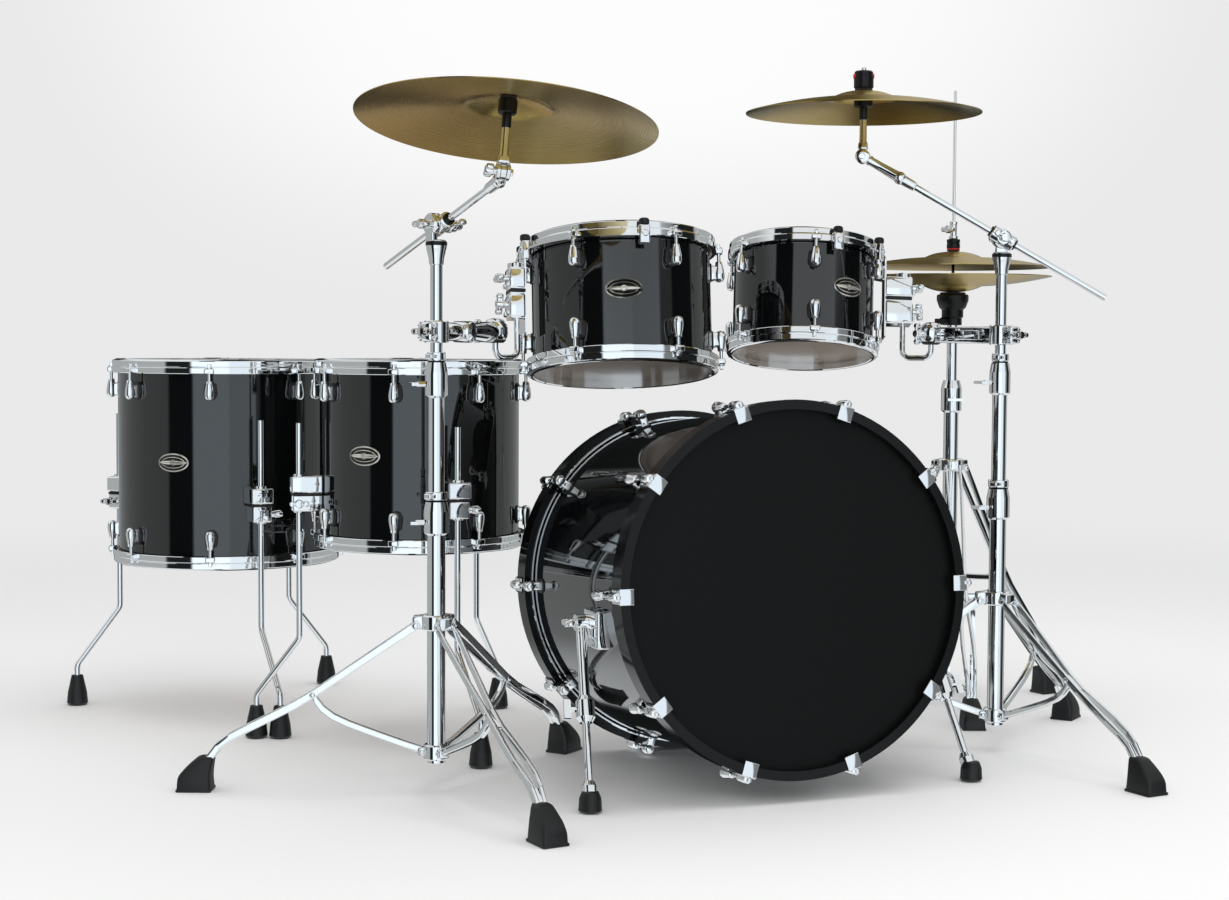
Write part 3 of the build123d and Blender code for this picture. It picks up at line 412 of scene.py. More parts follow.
def fitted(name, model, places, body, finish):
    copies = []
    for matrix in places:
        copy = model.copy()
        copy.data = model.data.copy()
        copy.data.transform(MILLIMETRES @ matrix)
        bpy.context.collection.objects.link(copy)
        copies.append(copy)
    bpy.data.objects.remove(model)
    made = joined(copies)
    made.name = name
    made.data.name = name
    slot, material = finish
    coat(made, material)
    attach(made, body)
    return made


# ---------------------------------------- drums
INCH = 25.4
ROD_OUT = 16.0
LUG_DROP = 57.0
HOOP_DEEP = 26.0
HEAD_DROP = 14.4  # film below the hoop's rim


class Tom:
    """A tom's size, its lugs and the frame at its batter rim, as the solids have them."""

    def __init__(self, name, inches, height, centre, lean, lugs, phase, body):
        self.name = name
        self.radius = inches * INCH / 2
        self.height = height
        self.rim = frame_at(place(*centre), (*lean, 1))
        self.lugs = lugs
        self.phase = phase
        self.body = body

    def lug_seats(self, radius, drop):
        """Frames beside each lug of both ends."""
        return [
            outward(end, turn * (self.phase + count * 360 / self.lugs), radius, -drop)
            for end, turn in both_ends(self.rim, self.height)
            for count in range(self.lugs)
        ]

    def fit(self, name, model, places, finish):
        """Fit a model to places on this tom."""
        return fitted(f"{self.name}_{name}", model, places, self.body, finish)


# Each tom's name, inches, height, rim's middle, lean, lugs, the first lug's bearing, and its body
TOMS = (
    Tom("floor_tom_16", 16, 386.4, (-681.8, 1099.5, 676.5), (0, 0), 8, 26.4, "kit"),
    Tom("floor_tom_14", 14, 334.8, (-408.2, 708.3, 680.7), (0, 0), 8, 16.1, "kit"),
    Tom("rack_tom_12", 12, 233.2, (-131.8, 430.9, 886.0), (0.039, 0.171), 6, 41.7, "rack_tom_12"),
    Tom("rack_tom_10", 10, 207.8, (273.7, 542.2, 890.8), (0.105, 0.192), 6, 12.7, "rack_tom_10"),
)
# The bearings of a floor tom's leg brackets, and their height above the floor
LEG_BRACKETS = {"floor_tom_16": ((138.9, 273.9, 48.9), 380.0), "floor_tom_14": ((176.0, 271.5, 44.5), 410.0)}


def bullet_lug(rod_out, rod_length):
    """A bullet lug on its foot, its y towards the hoop, and the tension rod as far as its washer."""
    outline = [
        (1.5, -17.5), (5, -16.6), (7.8, -14), (9.2, -9.5), (9.2, -3), (8, 5), (6.4, 12), (5.9, 17), (4.6, 18),
        (3.2, 18),
    ]
    bullet = turned(outline, 24, 60, at=shift(0, 0, rod_out) @ ACROSS_Y)
    foot = eased_block(15, 27, rod_out, 3, (0.8, 0.85), at=shift(0, -2, 0))
    end = rod_length + 1.6
    outline = [(3, 0), (3, rod_length), (5.2, rod_length), (5.2, end), (3, end)]
    rod = turned(outline, 16, at=shift(0, 17, rod_out) @ ACROSS_Y)
    return joined([bullet, foot, rod])


def rod_head(rod_out, along):
    """A tension rod's collar and square head, for a drum key."""
    collar = turned([(5.6, 0), (6.2, 0.8), (6.2, 2.2), (4, 3)], 20)
    square = eased_block(5.8, 5.8, 7, 0.9, at=shift(0, 0, 2))
    return moved(joined([collar, square]), shift(0, along, rod_out) @ ACROSS_Y)


def gasket():
    """The rubber plate under a lug, round at the end away from the hoop."""
    end = {"vertices": 32, "radius": 12.6, "location": (0, -5, -1), "fill_type": "NGON"}
    blank(bpy.ops.mesh.primitive_circle_add, **end)
    pick("vertices", lambda vertex: vertex.co.y > 0.1)
    bpy.ops.transform.translate(value=(0, 11, 0))
    bpy.ops.transform.resize(value=(0.86, 0.35, 1))
    bpy.ops.mesh.select_all(action="SELECT")
    bpy.ops.mesh.extrude_region_move(TRANSFORM_OT_translate={"value": (0, 0, 2.6)})
    pull(0, 0, 1.0, (0.9, 0.93, 1))
    return stop_editing(50)


def wing_bolt(reach, span=30.0, at=ORIGIN):
    """A clamp's bolt, its hub and its two rounded wings."""
    hub = turned(
        [
            (5.2, -0.5), (6.4, 0.6), (6.4, reach - 1), (7.6, reach), (7.6, reach + 9), (6, reach + 12),
            (2, reach + 12.6),
        ],
        20,
    )
    wing = eased_block(span, 6.6, 12, 2.9, (0.86, 0.9), at=shift(0, 0, reach - 0.4))
    outline = [(1.5, -6), (3.6, -5.6), (4.8, -4), (4.8, 4), (3.6, 5.6), (1.5, 6)]
    tips = [turned(outline, 16, at=shift(side * (span / 2 - 2.6), 0, reach + 6)) for side in (-1, 1)]
    return moved(joined([hub, wing, *tips]), at)


def dress_lugs(tom):
    """Lugs, rods, rod heads and gaskets of a tom."""
    seats = tom.lug_seats(tom.radius, LUG_DROP)
    lugs = tom.fit("bullet_lugs", bullet_lug(ROD_OUT, 22), seats, CHROME)
    tom.fit("rod_heads", rod_head(ROD_OUT, 40), seats, CHROME)
    tom.fit("lug_gaskets", gasket(), seats, RUBBER)
    if tom.name in LEG_BRACKETS:
        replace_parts(lugs, f"{tom.name}_lugs_and_leg_brackets")
        dress_leg_brackets(tom)
    else:
        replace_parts(lugs, f"{tom.name}_lugs")


def dress_leg_brackets(tom):
    """The brackets that hold a floor tom's legs, with their wing bolts and pads."""
    bearings, height = LEG_BRACKETS[tom.name]
    seats = [
        outward(tom.rim, bearing, tom.radius - 1, height - tom.rim.translation.z) for bearing in bearings
    ]
    lower = eased_block(35, 30, 53, 3, at=shift(0, 16, 0))
    upper = eased_block(44, 33, 56, 3.5, (0.9, 0.86), at=shift(0, 49, 0))
    eye = turned([(9.5, 0), (10.5, 1.5), (10.5, 66), (9.5, 68)], 24, at=shift(0, -1, 40) @ ACROSS_Y)
    tom.fit("leg_brackets", joined([lower, upper, eye]), seats, CHROME)
    turn = shift(15, 16, 44) @ Matrix.Rotation(radians(90), 4, "Y")
    tom.fit("leg_bolts", wing_bolt(9, at=turn), seats, CHROME)
    tom.fit("bracket_pads", eased_block(40, 5, 50, 1.5, at=shift(0, 31.5, 2.5)), seats, RUBBER)


def dress_hoops(tom):
    """Both die-cast hoops, with a rolled lip, a step, and an ear for each rod."""
    out = tom.radius
    outline = [
        (out - 1, -HEAD_DROP), (out - 1, -1.4), (out + 0.4, 0), (out + 3.4, 0), (out + 5, -1.2),
        (out + 8.8, -2.4), (out + 9.8, -3.6), (out + 9.8, -12.4), (out + 8.6, -13.4), (out + 11.2, -14.4),
        (out + 11.9, -15.4), (out + 11.9, -25), (out + 11.2, -26), (out + 5.5, -26), (out + 5.5, -HEAD_DROP),
    ]
    ends = [end for end, _ in both_ends(tom.rim, tom.height)]
    hoops = tom.fit("cast_hoops", turned_ring(outline), ends, CHROME)
    ear = eased_block(18, 10, 13, 2.2, at=shift(0, 5, -2))
    tom.fit("hoop_ears", ear, tom.lug_seats(out + 11.6, HOOP_DEEP), CHROME)
    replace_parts(hoops, f"{tom.name}_hoops")


for tom in TOMS:
    dress_lugs(tom)
    dress_hoops(tom)


# ---------------------------------------- bass drum
BASS_RADIUS = 279.4
BASS_LENGTH = 489.2
BASS_TILT = radians(4.1)
BASS_HOOP_RADIUS = 296.0
BASS_LUGS = 10
SPUR_SIDES = {"left": -1, "right": 1}
bass_height = BASS_HOOP_RADIUS * cos(BASS_TILT) + BASS_LENGTH * sin(BASS_TILT)
bass_front = frame_at(place(0, 0, bass_height), (0, -cos(BASS_TILT), sin(BASS_TILT)))


def bass_seats(radius, drop):
    """Frames beside each lug of both ends of the bass drum."""
    return [
        outward(end, turn * (90 + 360 / BASS_LUGS * (count + 0.5)), radius, -drop)
        for end, turn in both_ends(bass_front, BASS_LENGTH)
        for count in range(BASS_LUGS)
    ]


def dress_bass_lugs():
    """Lugs, rods, rod heads and gaskets of the bass drum."""
    rod_out = BASS_HOOP_RADIUS + 6 - BASS_RADIUS
    seats = bass_seats(BASS_RADIUS, 75)
    lugs = fitted("bass_bullet_lugs", bullet_lug(rod_out, 42), seats, "kit", CHROME)
    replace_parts(lugs, "bass_lugs_and_spur_brackets", "bass_claws")
    fitted("bass_rod_heads", rod_head(rod_out, 75), seats, "kit", CHROME)
    fitted("bass_lug_gaskets", gasket(), seats, "kit", RUBBER)


def dress_claws():
    """The claws that hook over both bass hoops, with their rubber liners."""
    seats = bass_seats(BASS_HOOP_RADIUS, 0)
    hook = eased_block(25, 24, 3.6, 1.2, at=shift(0, 0, -9.2) @ ACROSS_Y)
    back = eased_block(22, 31, 3.4, 1.2, at=shift(0, -12.5, 0))
    hump = turned(
        [(4.5, 0), (6.6, 1.4), (7.4, 6), (7.4, 27), (6.6, 31), (4.5, 32.5)], 24,
        at=shift(0, -29, 6) @ ACROSS_Y,
    )
    fitted("bass_claw_hooks", joined([hook, back, hump]), seats, "kit", CHROME)
    liner = eased_block(27, 30, 1.5, 0.5, segments=2, at=shift(0, -12.5, -0.4))
    fitted("bass_claw_liners", liner, seats, "kit", RUBBER)


def dress_collar_rings():
    """The metal collar round the edge of each bass head."""
    flesh = BASS_RADIUS + 4.1
    outline = [
        (flesh - 2, -24), (flesh + 0.8, -24), (flesh + 1.6, -25), (flesh + 1.6, -39.4), (flesh + 0.6, -40.4),
        (flesh - 2, -40.4),
    ]
    ends = [end for end, _ in both_ends(bass_front, BASS_LENGTH)]
    fitted("bass_collar_rings", turned_ring(outline), ends, "kit", CHROME)


def dress_spur_bracket(name, side):
    """The cast bracket on the shell that holds a spur, and its wing bolt."""
    face = place(side * (BASS_RADIUS + 12), 160, 272)
    plate = eased_block(62, 60, 25, 4, at=shift(-18, side * 8, 0))
    over = Matrix.Rotation(pi, 4, "X") @ shift(-18, -side * 12, -4)
    ridge = eased_block(50, 26, 9, 3, (0.8, 0.6), at=over)
    boss = turned([(12, 0), (13.5, 1.4), (13.5, 7), (12, 8)], 28, at=shift(0, 0, -0.2))
    bracket = joined([plate, ridge, boss])
    seat = frame_at(face, (-side, 0, 0), (0, 1, 0))
    fitted(f"spur_{name}_bracket", bracket, [seat], "kit", CHROME)
    end = frame_at(face + Vector((side * 18.6, 0, 0)), (side, 0, 0), (0, 1, 0))
    fitted(f"spur_{name}_bolt", wing_bolt(5, 34), [end], "kit", CHROME)


dress_bass_lugs()
dress_claws()
dress_collar_rings()
for name, side in SPUR_SIDES.items():
    dress_spur_bracket(name, side)


# ---------------------------------------- fittings on the toms
# Bearings about each tom: its saddles, its badge (and how far the badge is below the rim),
# and its clamp (and how far the rod in it is from the drum's axis)
SADDLES = {"rack_tom_12": (-98.0, -179.0, 150.0), "rack_tom_10": (-92.0, -50.0, 8.0)}
BADGES = {
    "floor_tom_16": (-129.0, 189.0),
    "floor_tom_14": (-138.0, 166.0),
    "rack_tom_12": (-109.5, 113.0),
    "rack_tom_10": (-77.0, 102.0),
}
MOUNTS = {"rack_tom_12": (176.0, 184.0), "rack_tom_10": (-20.0, 182.0)}
MOUNT_OUT = 19.0
GRIP_DROP = 100.0


def trimmed(piece, cutter):
    """Keep what two pieces share."""
    bpy.ops.object.select_all(action="DESELECT")
    piece.select_set(True)
    bpy.context.view_layer.objects.active = piece
    trim = piece.modifiers.new("trim", "BOOLEAN")
    trim.operation = "INTERSECT"
    trim.solver = "EXACT"
    trim.object = cutter
    bpy.ops.object.modifier_apply(modifier="trim")
    bpy.data.objects.remove(cutter)
    return piece


def oval_plate(shell_radius, wide, tall, lift, thick):
    """A thin oval plate bent to a shell, facing along x."""
    inner = shell_radius + lift
    outer = inner + thick
    ring = turned_ring([(inner, -tall), (outer, -tall), (outer, tall), (inner, tall)], 240)
    upended = Matrix.Scale(tall / wide, 4, (0, 0, 1)) @ Matrix.Rotation(radians(90), 4, "Y")
    cutter = turned([(wide / 2, shell_radius - 20), (wide / 2, shell_radius + 20)], 56, at=upended)
    return trimmed(ring, cutter)


def dress_badge(tom):
    """A plain oval badge round the vent: a brass rim, a black field and a brass line in it."""
    bearing, drop = BADGES[tom.name]
    seat = tom.rim @ shift(0, 0, -drop) @ Matrix.Rotation(radians(bearing), 4, "Z")
    # each layer's width, height, lift off the shell and thickness
    layers = (
        (62, 34, 0.1, 0.9), (57, 29.5, 0.9, 0.4), (48, 21, 1.2, 0.4), (45, 18.4, 1.5, 0.4), (56, 7, 1.7, 0.5)
    )
    for count, layer in enumerate(layers):
        tom.fit(f"badge_{count}", oval_plate(tom.radius, *layer), [seat], (BRASS, PLASTIC)[count % 2])
    vent = turned_ring(
        [(2.6, 0), (4.6, 0), (5.6, 0.8), (4.6, 2.2), (3.2, 2.2), (2.6, 1.2)], 32,
        at=shift(tom.radius + 1, 0, 0) @ Matrix.Rotation(radians(90), 4, "Y"),
    )
    tom.fit("vent", vent, [seat], BRASS)


def band_strip(radius, span):
    """A flat strip bent round a drum, centred on x."""
    blank(bpy.ops.mesh.primitive_plane_add, size=1, location=(0, 0, 0))
    bpy.ops.transform.rotate(value=radians(90), orient_axis="X", center_override=(0, 0, 0))
    bpy.ops.transform.resize(value=(11, 1, 3.4))
    bpy.ops.transform.translate(value=(radius, 0, 0))
    bpy.ops.transform.rotate(value=radians(span / 2), orient_axis="Z", center_override=(0, 0, 0))
    bpy.ops.mesh.spin(steps=40, angle=radians(-span), center=(0, 0, 0), axis=(0, 0, 1))
    return stop_editing(35)


def dress_saddles(tom):
    """The suspension band's saddles, with their screws and rubber knobs."""
    saddle = eased_block(19, 33, 13, 2.6, (0.9, 0.94), at=shift(0, 16.5, -4))
    screw = turned([(4.2, 6), (5.4, 7), (5.4, 10.6), (4.4, 11.8)], 20, at=shift(0, 17, 0))
    seats = [outward(tom.rim, bearing, tom.radius + 18, -44) for bearing in SADDLES[tom.name]]
    tom.fit("saddles", joined([saddle, screw]), seats, CHROME)
    outline = [(6.4, 0), (8.4, 1.2), (8.8, 3), (8.4, 8.6), (6.6, 10.4)]
    tom.fit("saddle_knobs", turned(outline, 24, at=shift(0, 32.4, 2) @ ACROSS_Y), seats, RUBBER)


def dress_band(tom):
    """The suspension band, from one outer saddle to the other round the clamp."""
    bearing = MOUNTS[tom.name][0]
    seat = tom.rim @ shift(0, 0, -HOOP_DEEP - 2.0) @ Matrix.Rotation(radians(bearing), 4, "Z")
    reach = max(abs((bearing - other + 180) % 360 - 180) for other in SADDLES[tom.name])
    tom.fit("band", band_strip(tom.radius + MOUNT_OUT - 2, 2 * reach + 8), [seat], CHROME)


def dress_rod_clamps(tom):
    """The two clamps that hold the rod, with their screws, wing bolts and rubber washer."""
    bearing, rod_radius = MOUNTS[tom.name]
    grip = outward(tom.rim, bearing, tom.radius + MOUNT_OUT, -GRIP_DROP)
    deep = rod_radius - tom.radius - MOUNT_OUT + 14
    upper = eased_block(38, 37, deep + 2, 4.5, (0.94, 0.92), at=shift(0, 25.5, 0.2))
    lower = eased_block(40, 45, deep + 3, 6, (0.86, 0.86), at=shift(0, -22, 0.2))
    collar = turned([(12, 0), (13.5, 1.2), (13.5, 9), (12, 10.2)], 28, at=shift(0, 42, deep - 13) @ ACROSS_Y)
    outline = [(3.6, 0), (4.6, 0.8), (4.6, 3.4), (3.6, 4.2)]
    corners = ((-11, 14), (11, 14), (-10, -34), (10, -34))
    heads = [turned(outline, 6, at=shift(x, y, deep + 2)) for x, y in corners]
    tom.fit("rod_clamps", joined([upper, lower, collar, *heads]), [grip], CHROME)
    aslant = Matrix.Rotation(radians(65), 4, "Z")
    bolts = [grip @ shift(0, 26, deep + 1), grip @ shift(0, -18, deep + 1) @ aslant]
    tom.fit("rod_bolts", wing_bolt(9, 32), bolts, CHROME)
    washer = eased_block(36, 7, deep, 1, at=shift(0, 3.5, 0.2))
    tom.fit("clamp_washer", washer, [grip], RUBBER)


for tom in TOMS:
    dress_badge(tom)
    if tom.name in MOUNTS:
        dress_saddles(tom)
        dress_band(tom)
        dress_rod_clamps(tom)


# ---------------------------------------- cymbals
# Each cymbal's radius, its height and the body it rides on
CYMBAL_SIZES = {
    "left_stand_cymbal": (228.6, 42.0, "left_stand_cymbal"),
    "right_stand_cymbal": (203.2, 38.0, "right_stand_cymbal"),
    "hihat_top_cymbal": (190.5, 30.0, "hihat_pull"),
    "hihat_bottom_cymbal": (190.5, 30.0, "hihat_upper"),
}
BELL = 0.3  # the bell's share of a cymbal's radius
BOW_RISE = 0.6  # the bow's share of its height


def spun_cymbal(radius, rise):
    """A cymbal turned about its hub: a thin bow that flattens out to the edge, and a bell."""
    bell = BELL * radius
    outline = []
    for share in (1.0, 0.985, 0.94, 0.87, 0.79, 0.71, 0.63, 0.55, 0.48, 0.42, 0.37, 0.335):
        drop = ((share - BELL) / (1 - BELL)) ** 1.65
        outline.append((share * radius, BOW_RISE * rise * (1 - drop)))
    outline.append((bell * 1.03, 0.612 * rise))
    for share in (0.97, 0.9, 0.8, 0.68, 0.54, 0.4, 0.26, 0.14):
        outline.append((bell * share, rise * (BOW_RISE + (1 - BOW_RISE) * (1 - share**2.6))))
    outline.append((6.2, rise))
    under = [(r, h - 1.3) for r, h in reversed(outline)]
    return turned_ring(outline + under, 144, 60)


for name, (radius, rise, body) in CYMBAL_SIZES.items():
    hub, upward = CYMBALS[name]
    bronze = ("bronze", frame["nodes"][name].data.materials[0])
    cymbal = fitted(f"{name}_spun", spun_cymbal(radius, rise), [frame_at(place(*hub), upward)], body, bronze)
    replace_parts(cymbal, name)


# ---------------------------------------- stands
TILTER_HEIGHT = 895.0
BOOM_ASIDE = 9.0
STEM_DROP = 75.0
ARM_HEIGHT = 728.0
ARM_START = 14.0  # how far the arm begins from the middle of its tube
TABBED_NUT = 12.0  # a nut wider than this has red tabs


class Stand:
    """A boom stand's place, boom, cymbal and tom arm, as the solids have them."""

    def __init__(self, side, foot, legs, leg_radius, boom, nut, arm):
        self.name = f"{side}_stand"
        self.foot = place(*foot)
        self.legs = legs
        self.leg_radius = leg_radius
        bearing, slope, front = boom
        self.along = heading(bearing)
        self.aside = heading(bearing + 90)
        self.reach = heading(bearing, cos(radians(slope)), sin(radians(slope)))
        self.pivot = self.foot + UP * TILTER_HEIGHT
        self.on_boom = self.pivot + self.aside * BOOM_ASIDE
        self.tip = self.on_boom + self.reach * front
        hub, upward = CYMBALS[f"{self.name}_cymbal"]
        self.edge = frame_at(place(*hub), upward)
        self.rise = CYMBAL_SIZES[f"{self.name}_cymbal"][1]
        self.underside = self.rise - 1.9
        self.nut_radius, self.nut_height, self.rod_top = nut
        self.stem_pivot = self.edge.translation - axis(self.edge, 2) * STEM_DROP
        self.neck = (self.stem_pivot - self.tip).normalized()
        self.hinge = self.neck.cross(axis(self.edge, 2)).normalized()
        self.arm_bearing, self.arm_length, self.flat_arm = arm

    def upright(self, height=0.0):
        """A frame on the stand's tubes at a height."""
        return frame_at(self.foot + UP * height, UP)


# Each stand's side, its foot, the bearings and radius of its feet, its boom (bearing, slope, length), its nut
# (radius, height, and how high the rod ends) and its tom arm (bearing, length, and whether it is flat)
STANDS = (
    Stand(
        "left", (-511, 248), (38.2, 158.2, 278.2), 381,
        boom=(-72.3, 21, 165), nut=(9, 14, 66), arm=(45, 202, False),
    ),
    Stand(
        "right", (498, 228), (37.6, 157.6, 277.6), 375,
        boom=(155.5, 30.1, 205), nut=(17, 34, 78), arm=(102, 178.5, True),
    ),
)


def dress_stem(stand):
    """The tilting stem's chrome: its rod, its knuckle and the bolt through it."""
    body = f"{stand.name}_stem"
    upward = axis(stand.edge, 2)
    under = stand.underside
    top = stand.rod_top
    outline = [
        (4.4, -62), (8, -60.5), (8, -52), (6.4, -49), (6, under - 46), (4, under - 44), (4, top - 1.2),
        (3, top),
    ]
    rod = turned(outline, 28, at=stand.edge)
    outline = [(11, 4.4), (12.6, 5.2), (12.6, 9.4), (11.2, 10.6), (6, 11)]
    cheeks = [
        turned(outline, 32, at=frame_at(stand.stem_pivot, stand.hinge * side, upward)) for side in (-1, 1)
    ]
    saddle = eased_block(
        20, 17, 12, 2.6, (0.74, 0.9), at=frame_at(stand.stem_pivot + upward * 12, upward, stand.hinge)
    )
    bolt = wing_bolt(5, 27, frame_at(stand.stem_pivot + stand.hinge * 10, stand.hinge, stand.neck))
    head = turned(
        [(5, 0), (6.4, 1), (6.4, 4), (5, 5)], 6,
        at=frame_at(stand.stem_pivot - stand.hinge * 10.6, -stand.hinge, stand.neck),
    )
    stem = joined([rod, *cheeks, saddle, bolt, head])
    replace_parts(fitted(f"{body}_chrome", stem, AS_MADE, body, CHROME), f"{stand.name}_cymbal_stem")


def dress_cup(stand):
    """What holds the cymbal on its stem: the cup below, the nut above and the felts between."""
    body = f"{stand.name}_stem"
    seats = [stand.edge]
    under = stand.underside
    nut_radius = stand.nut_radius
    nut_top = stand.rise + stand.nut_height
    cup = max(14.5, nut_radius - 0.5)
    outline = [
        (6.4, under - 48), (7.2, under - 46.8), (7.2, under - 27), (cup - 1.6, under - 26),
        (cup, under - 24.4), (cup, under - 6), (cup - 1.4, under - 4.6),
    ]
    sleeve = turned(outline, 36)
    outline = [
        (nut_radius - 1.4, stand.rise + 4.6), (nut_radius, stand.rise + 5.6), (nut_radius, nut_top - 9),
        (nut_radius - 1.2, nut_top - 8.2), (nut_radius * 0.94, nut_top - 2), (nut_radius * 0.8, nut_top),
    ]
    cap = turned(outline, 36)
    fitted(f"{body}_cup_and_nut", joined([sleeve, cap]), seats, body, PLASTIC)
    felts = [
        turned([(cup - 2.2, low), (cup - 1.2, low + 1), (cup - 1.2, low + 3.2), (cup - 2.2, low + 4)], 32)
        for low in (under - 4.4, stand.rise + 0.5)
    ]
    fitted(f"{body}_felts", joined(felts), seats, body, FELT)
    if nut_radius > TABBED_NUT:
        tab = eased_block(11, 9, 5, 1.6, at=shift(0, 0, nut_radius - 4.2))
        tabs = [outward(stand.edge, bearing, 0, nut_top - 9) for bearing in (-21, 159)]
        fitted(f"{body}_nut_tabs", tab, tabs, body, RED)


def dress_boom(stand):
    """The castings at the boom's end: a ferrule, an elbow and the neck to the stem."""
    body = f"{stand.name}_boom"
    ferrule = turned(
        [(6, 0), (7.6, 1.4), (8.4, 6), (8.8, 24), (10.2, 31)], 28,
        at=frame_at(stand.tip - stand.reach * 31, stand.reach),
    )
    elbow = turned(
        [(3, -10.4), (7, -9), (10.2, -5), (11.2, 0), (10.2, 5), (7, 9), (3, 10.4)], 28, 60,
        at=frame_at(stand.tip, stand.hinge),
    )
    run = (stand.stem_pivot - stand.tip).length - 12
    outline = [
        (10.2, 0), (9.2, 5), (7.8, run * 0.6), (7.6, run - 5), (8.8, run - 3), (8.8, run - 0.6), (7.4, run)
    ]
    neck = turned(outline, 28, at=frame_at(stand.tip, stand.neck))
    fitted(f"{body}_elbow", joined([ferrule, elbow, neck]), AS_MADE, body, CHROME)


def dress_upper(stand):
    """The upper tube with its cone, and the fixed half of the ratchet that holds the boom."""
    upper = f"{stand.name}_upper"
    upright = stand.upright()
    tube = turned([(8, 500), (9.5, 501), (9.5, 845), (8, 846)], 40, at=upright)
    cone = turned(
        [(9.7, 832), (11.2, 833), (12, 842), (15.6, 857), (16.4, 861), (16.4, 862.4)], 40, at=upright
    )
    crown = turned([(15, 868), (15.4, 869.4), (13, 871), (6, 871.6)], 40, at=upright)
    post = eased_block(
        21, 11, 27, 2.6, (0.86, 1), at=frame_at(stand.pivot - stand.aside * 9.4 - UP * 27, UP, stand.along)
    )
    plate = turned(
        [(14, 3.6), (16.6, 3.8), (17.6, 5.4), (17.6, 11.5), (15.6, 14.6), (9, 15.4)], 40,
        at=frame_at(stand.pivot, -stand.aside, stand.along),
    )
    bolt = wing_bolt(8, 34, frame_at(stand.pivot - stand.aside * 14.6, -stand.aside, stand.along))
    made = joined([tube, cone, crown, post, plate, bolt])
    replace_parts(fitted(f"{upper}_casting", made, AS_MADE, upper, CHROME), f"{stand.name}_upper_tube")
    ring = turned([(16.2, 862), (17, 862.8), (17, 867.4), (16, 868.4)], 40)
    fitted(f"{upper}_ring", ring, [upright], upper, PLASTIC)


def dress_tilter(stand):
    """The half of the ratchet that turns: its plate, the sleeve round the boom, and its bolt."""
    tilter = f"{stand.name}_tilter"
    plate = turned(
        [(14, -3.2), (16.6, -3), (17.6, -1.6), (17.6, 1.6), (15, 3.4)], 40,
        at=frame_at(stand.pivot, stand.aside, stand.along),
    )
    sleeve = turned_ring(
        [(5.9, -22), (11.4, -22), (13, -20.4), (13, 20.4), (11.4, 22), (5.9, 22)], 36,
        at=frame_at(stand.on_boom, stand.reach),
    )
    boss = turned(
        [(11.6, 11), (12.6, 12.4), (12.6, 16), (10.8, 18)], 32, at=frame_at(stand.on_boom, stand.aside)
    )
    bolt = wing_bolt(8, 34, frame_at(stand.on_boom + stand.aside * 17.4, stand.aside, stand.reach))
    made = joined([plate, sleeve, boss, bolt])
    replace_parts(fitted(f"{tilter}_casting", made, AS_MADE, tilter, CHROME), f"{stand.name}_boom_tilter")
    bush = turned_ring([(5.8, 0), (9.8, 0), (9.4, 3), (5.8, 3)], 32)
    ends = [frame_at(stand.on_boom + stand.reach * 22 * side, stand.reach * side) for side in (-1, 1)]
    fitted(f"{tilter}_bushes", bush, ends, tilter, PLASTIC)


def flat_beam(seat, length):
    """A tom arm of rectangular section, with a raised panel."""
    beam = eased_block(30, 18, length - 6, 3.4, (0.94, 1), at=seat)
    return beam, eased_block(17, 20.4, 64, 2, at=seat @ shift(0, 0, 30))


def round_beam(seat, length):
    """A tapered round tom arm, and the ratchet across it."""
    outline = [
        (13, 0), (14.6, 3), (14.6, 0.22 * length), (12.4, 0.3 * length), (12.4, 0.52 * length),
        (16.4, 0.72 * length), (17.4, 0.86 * length), (13, length - 4),
    ]
    beam = turned(outline, 40, 45, at=seat)
    outline = [(8, -18), (15.4, -17), (17.2, -14), (17.2, 14), (15.4, 17), (12, 17.6), (9, 18.6), (5, 18.8)]
    middle = seat.translation + axis(seat, 2) * 0.4 * length
    return beam, turned(outline, 36, at=frame_at(middle, -UP.cross(axis(seat, 2)), axis(seat, 2)))


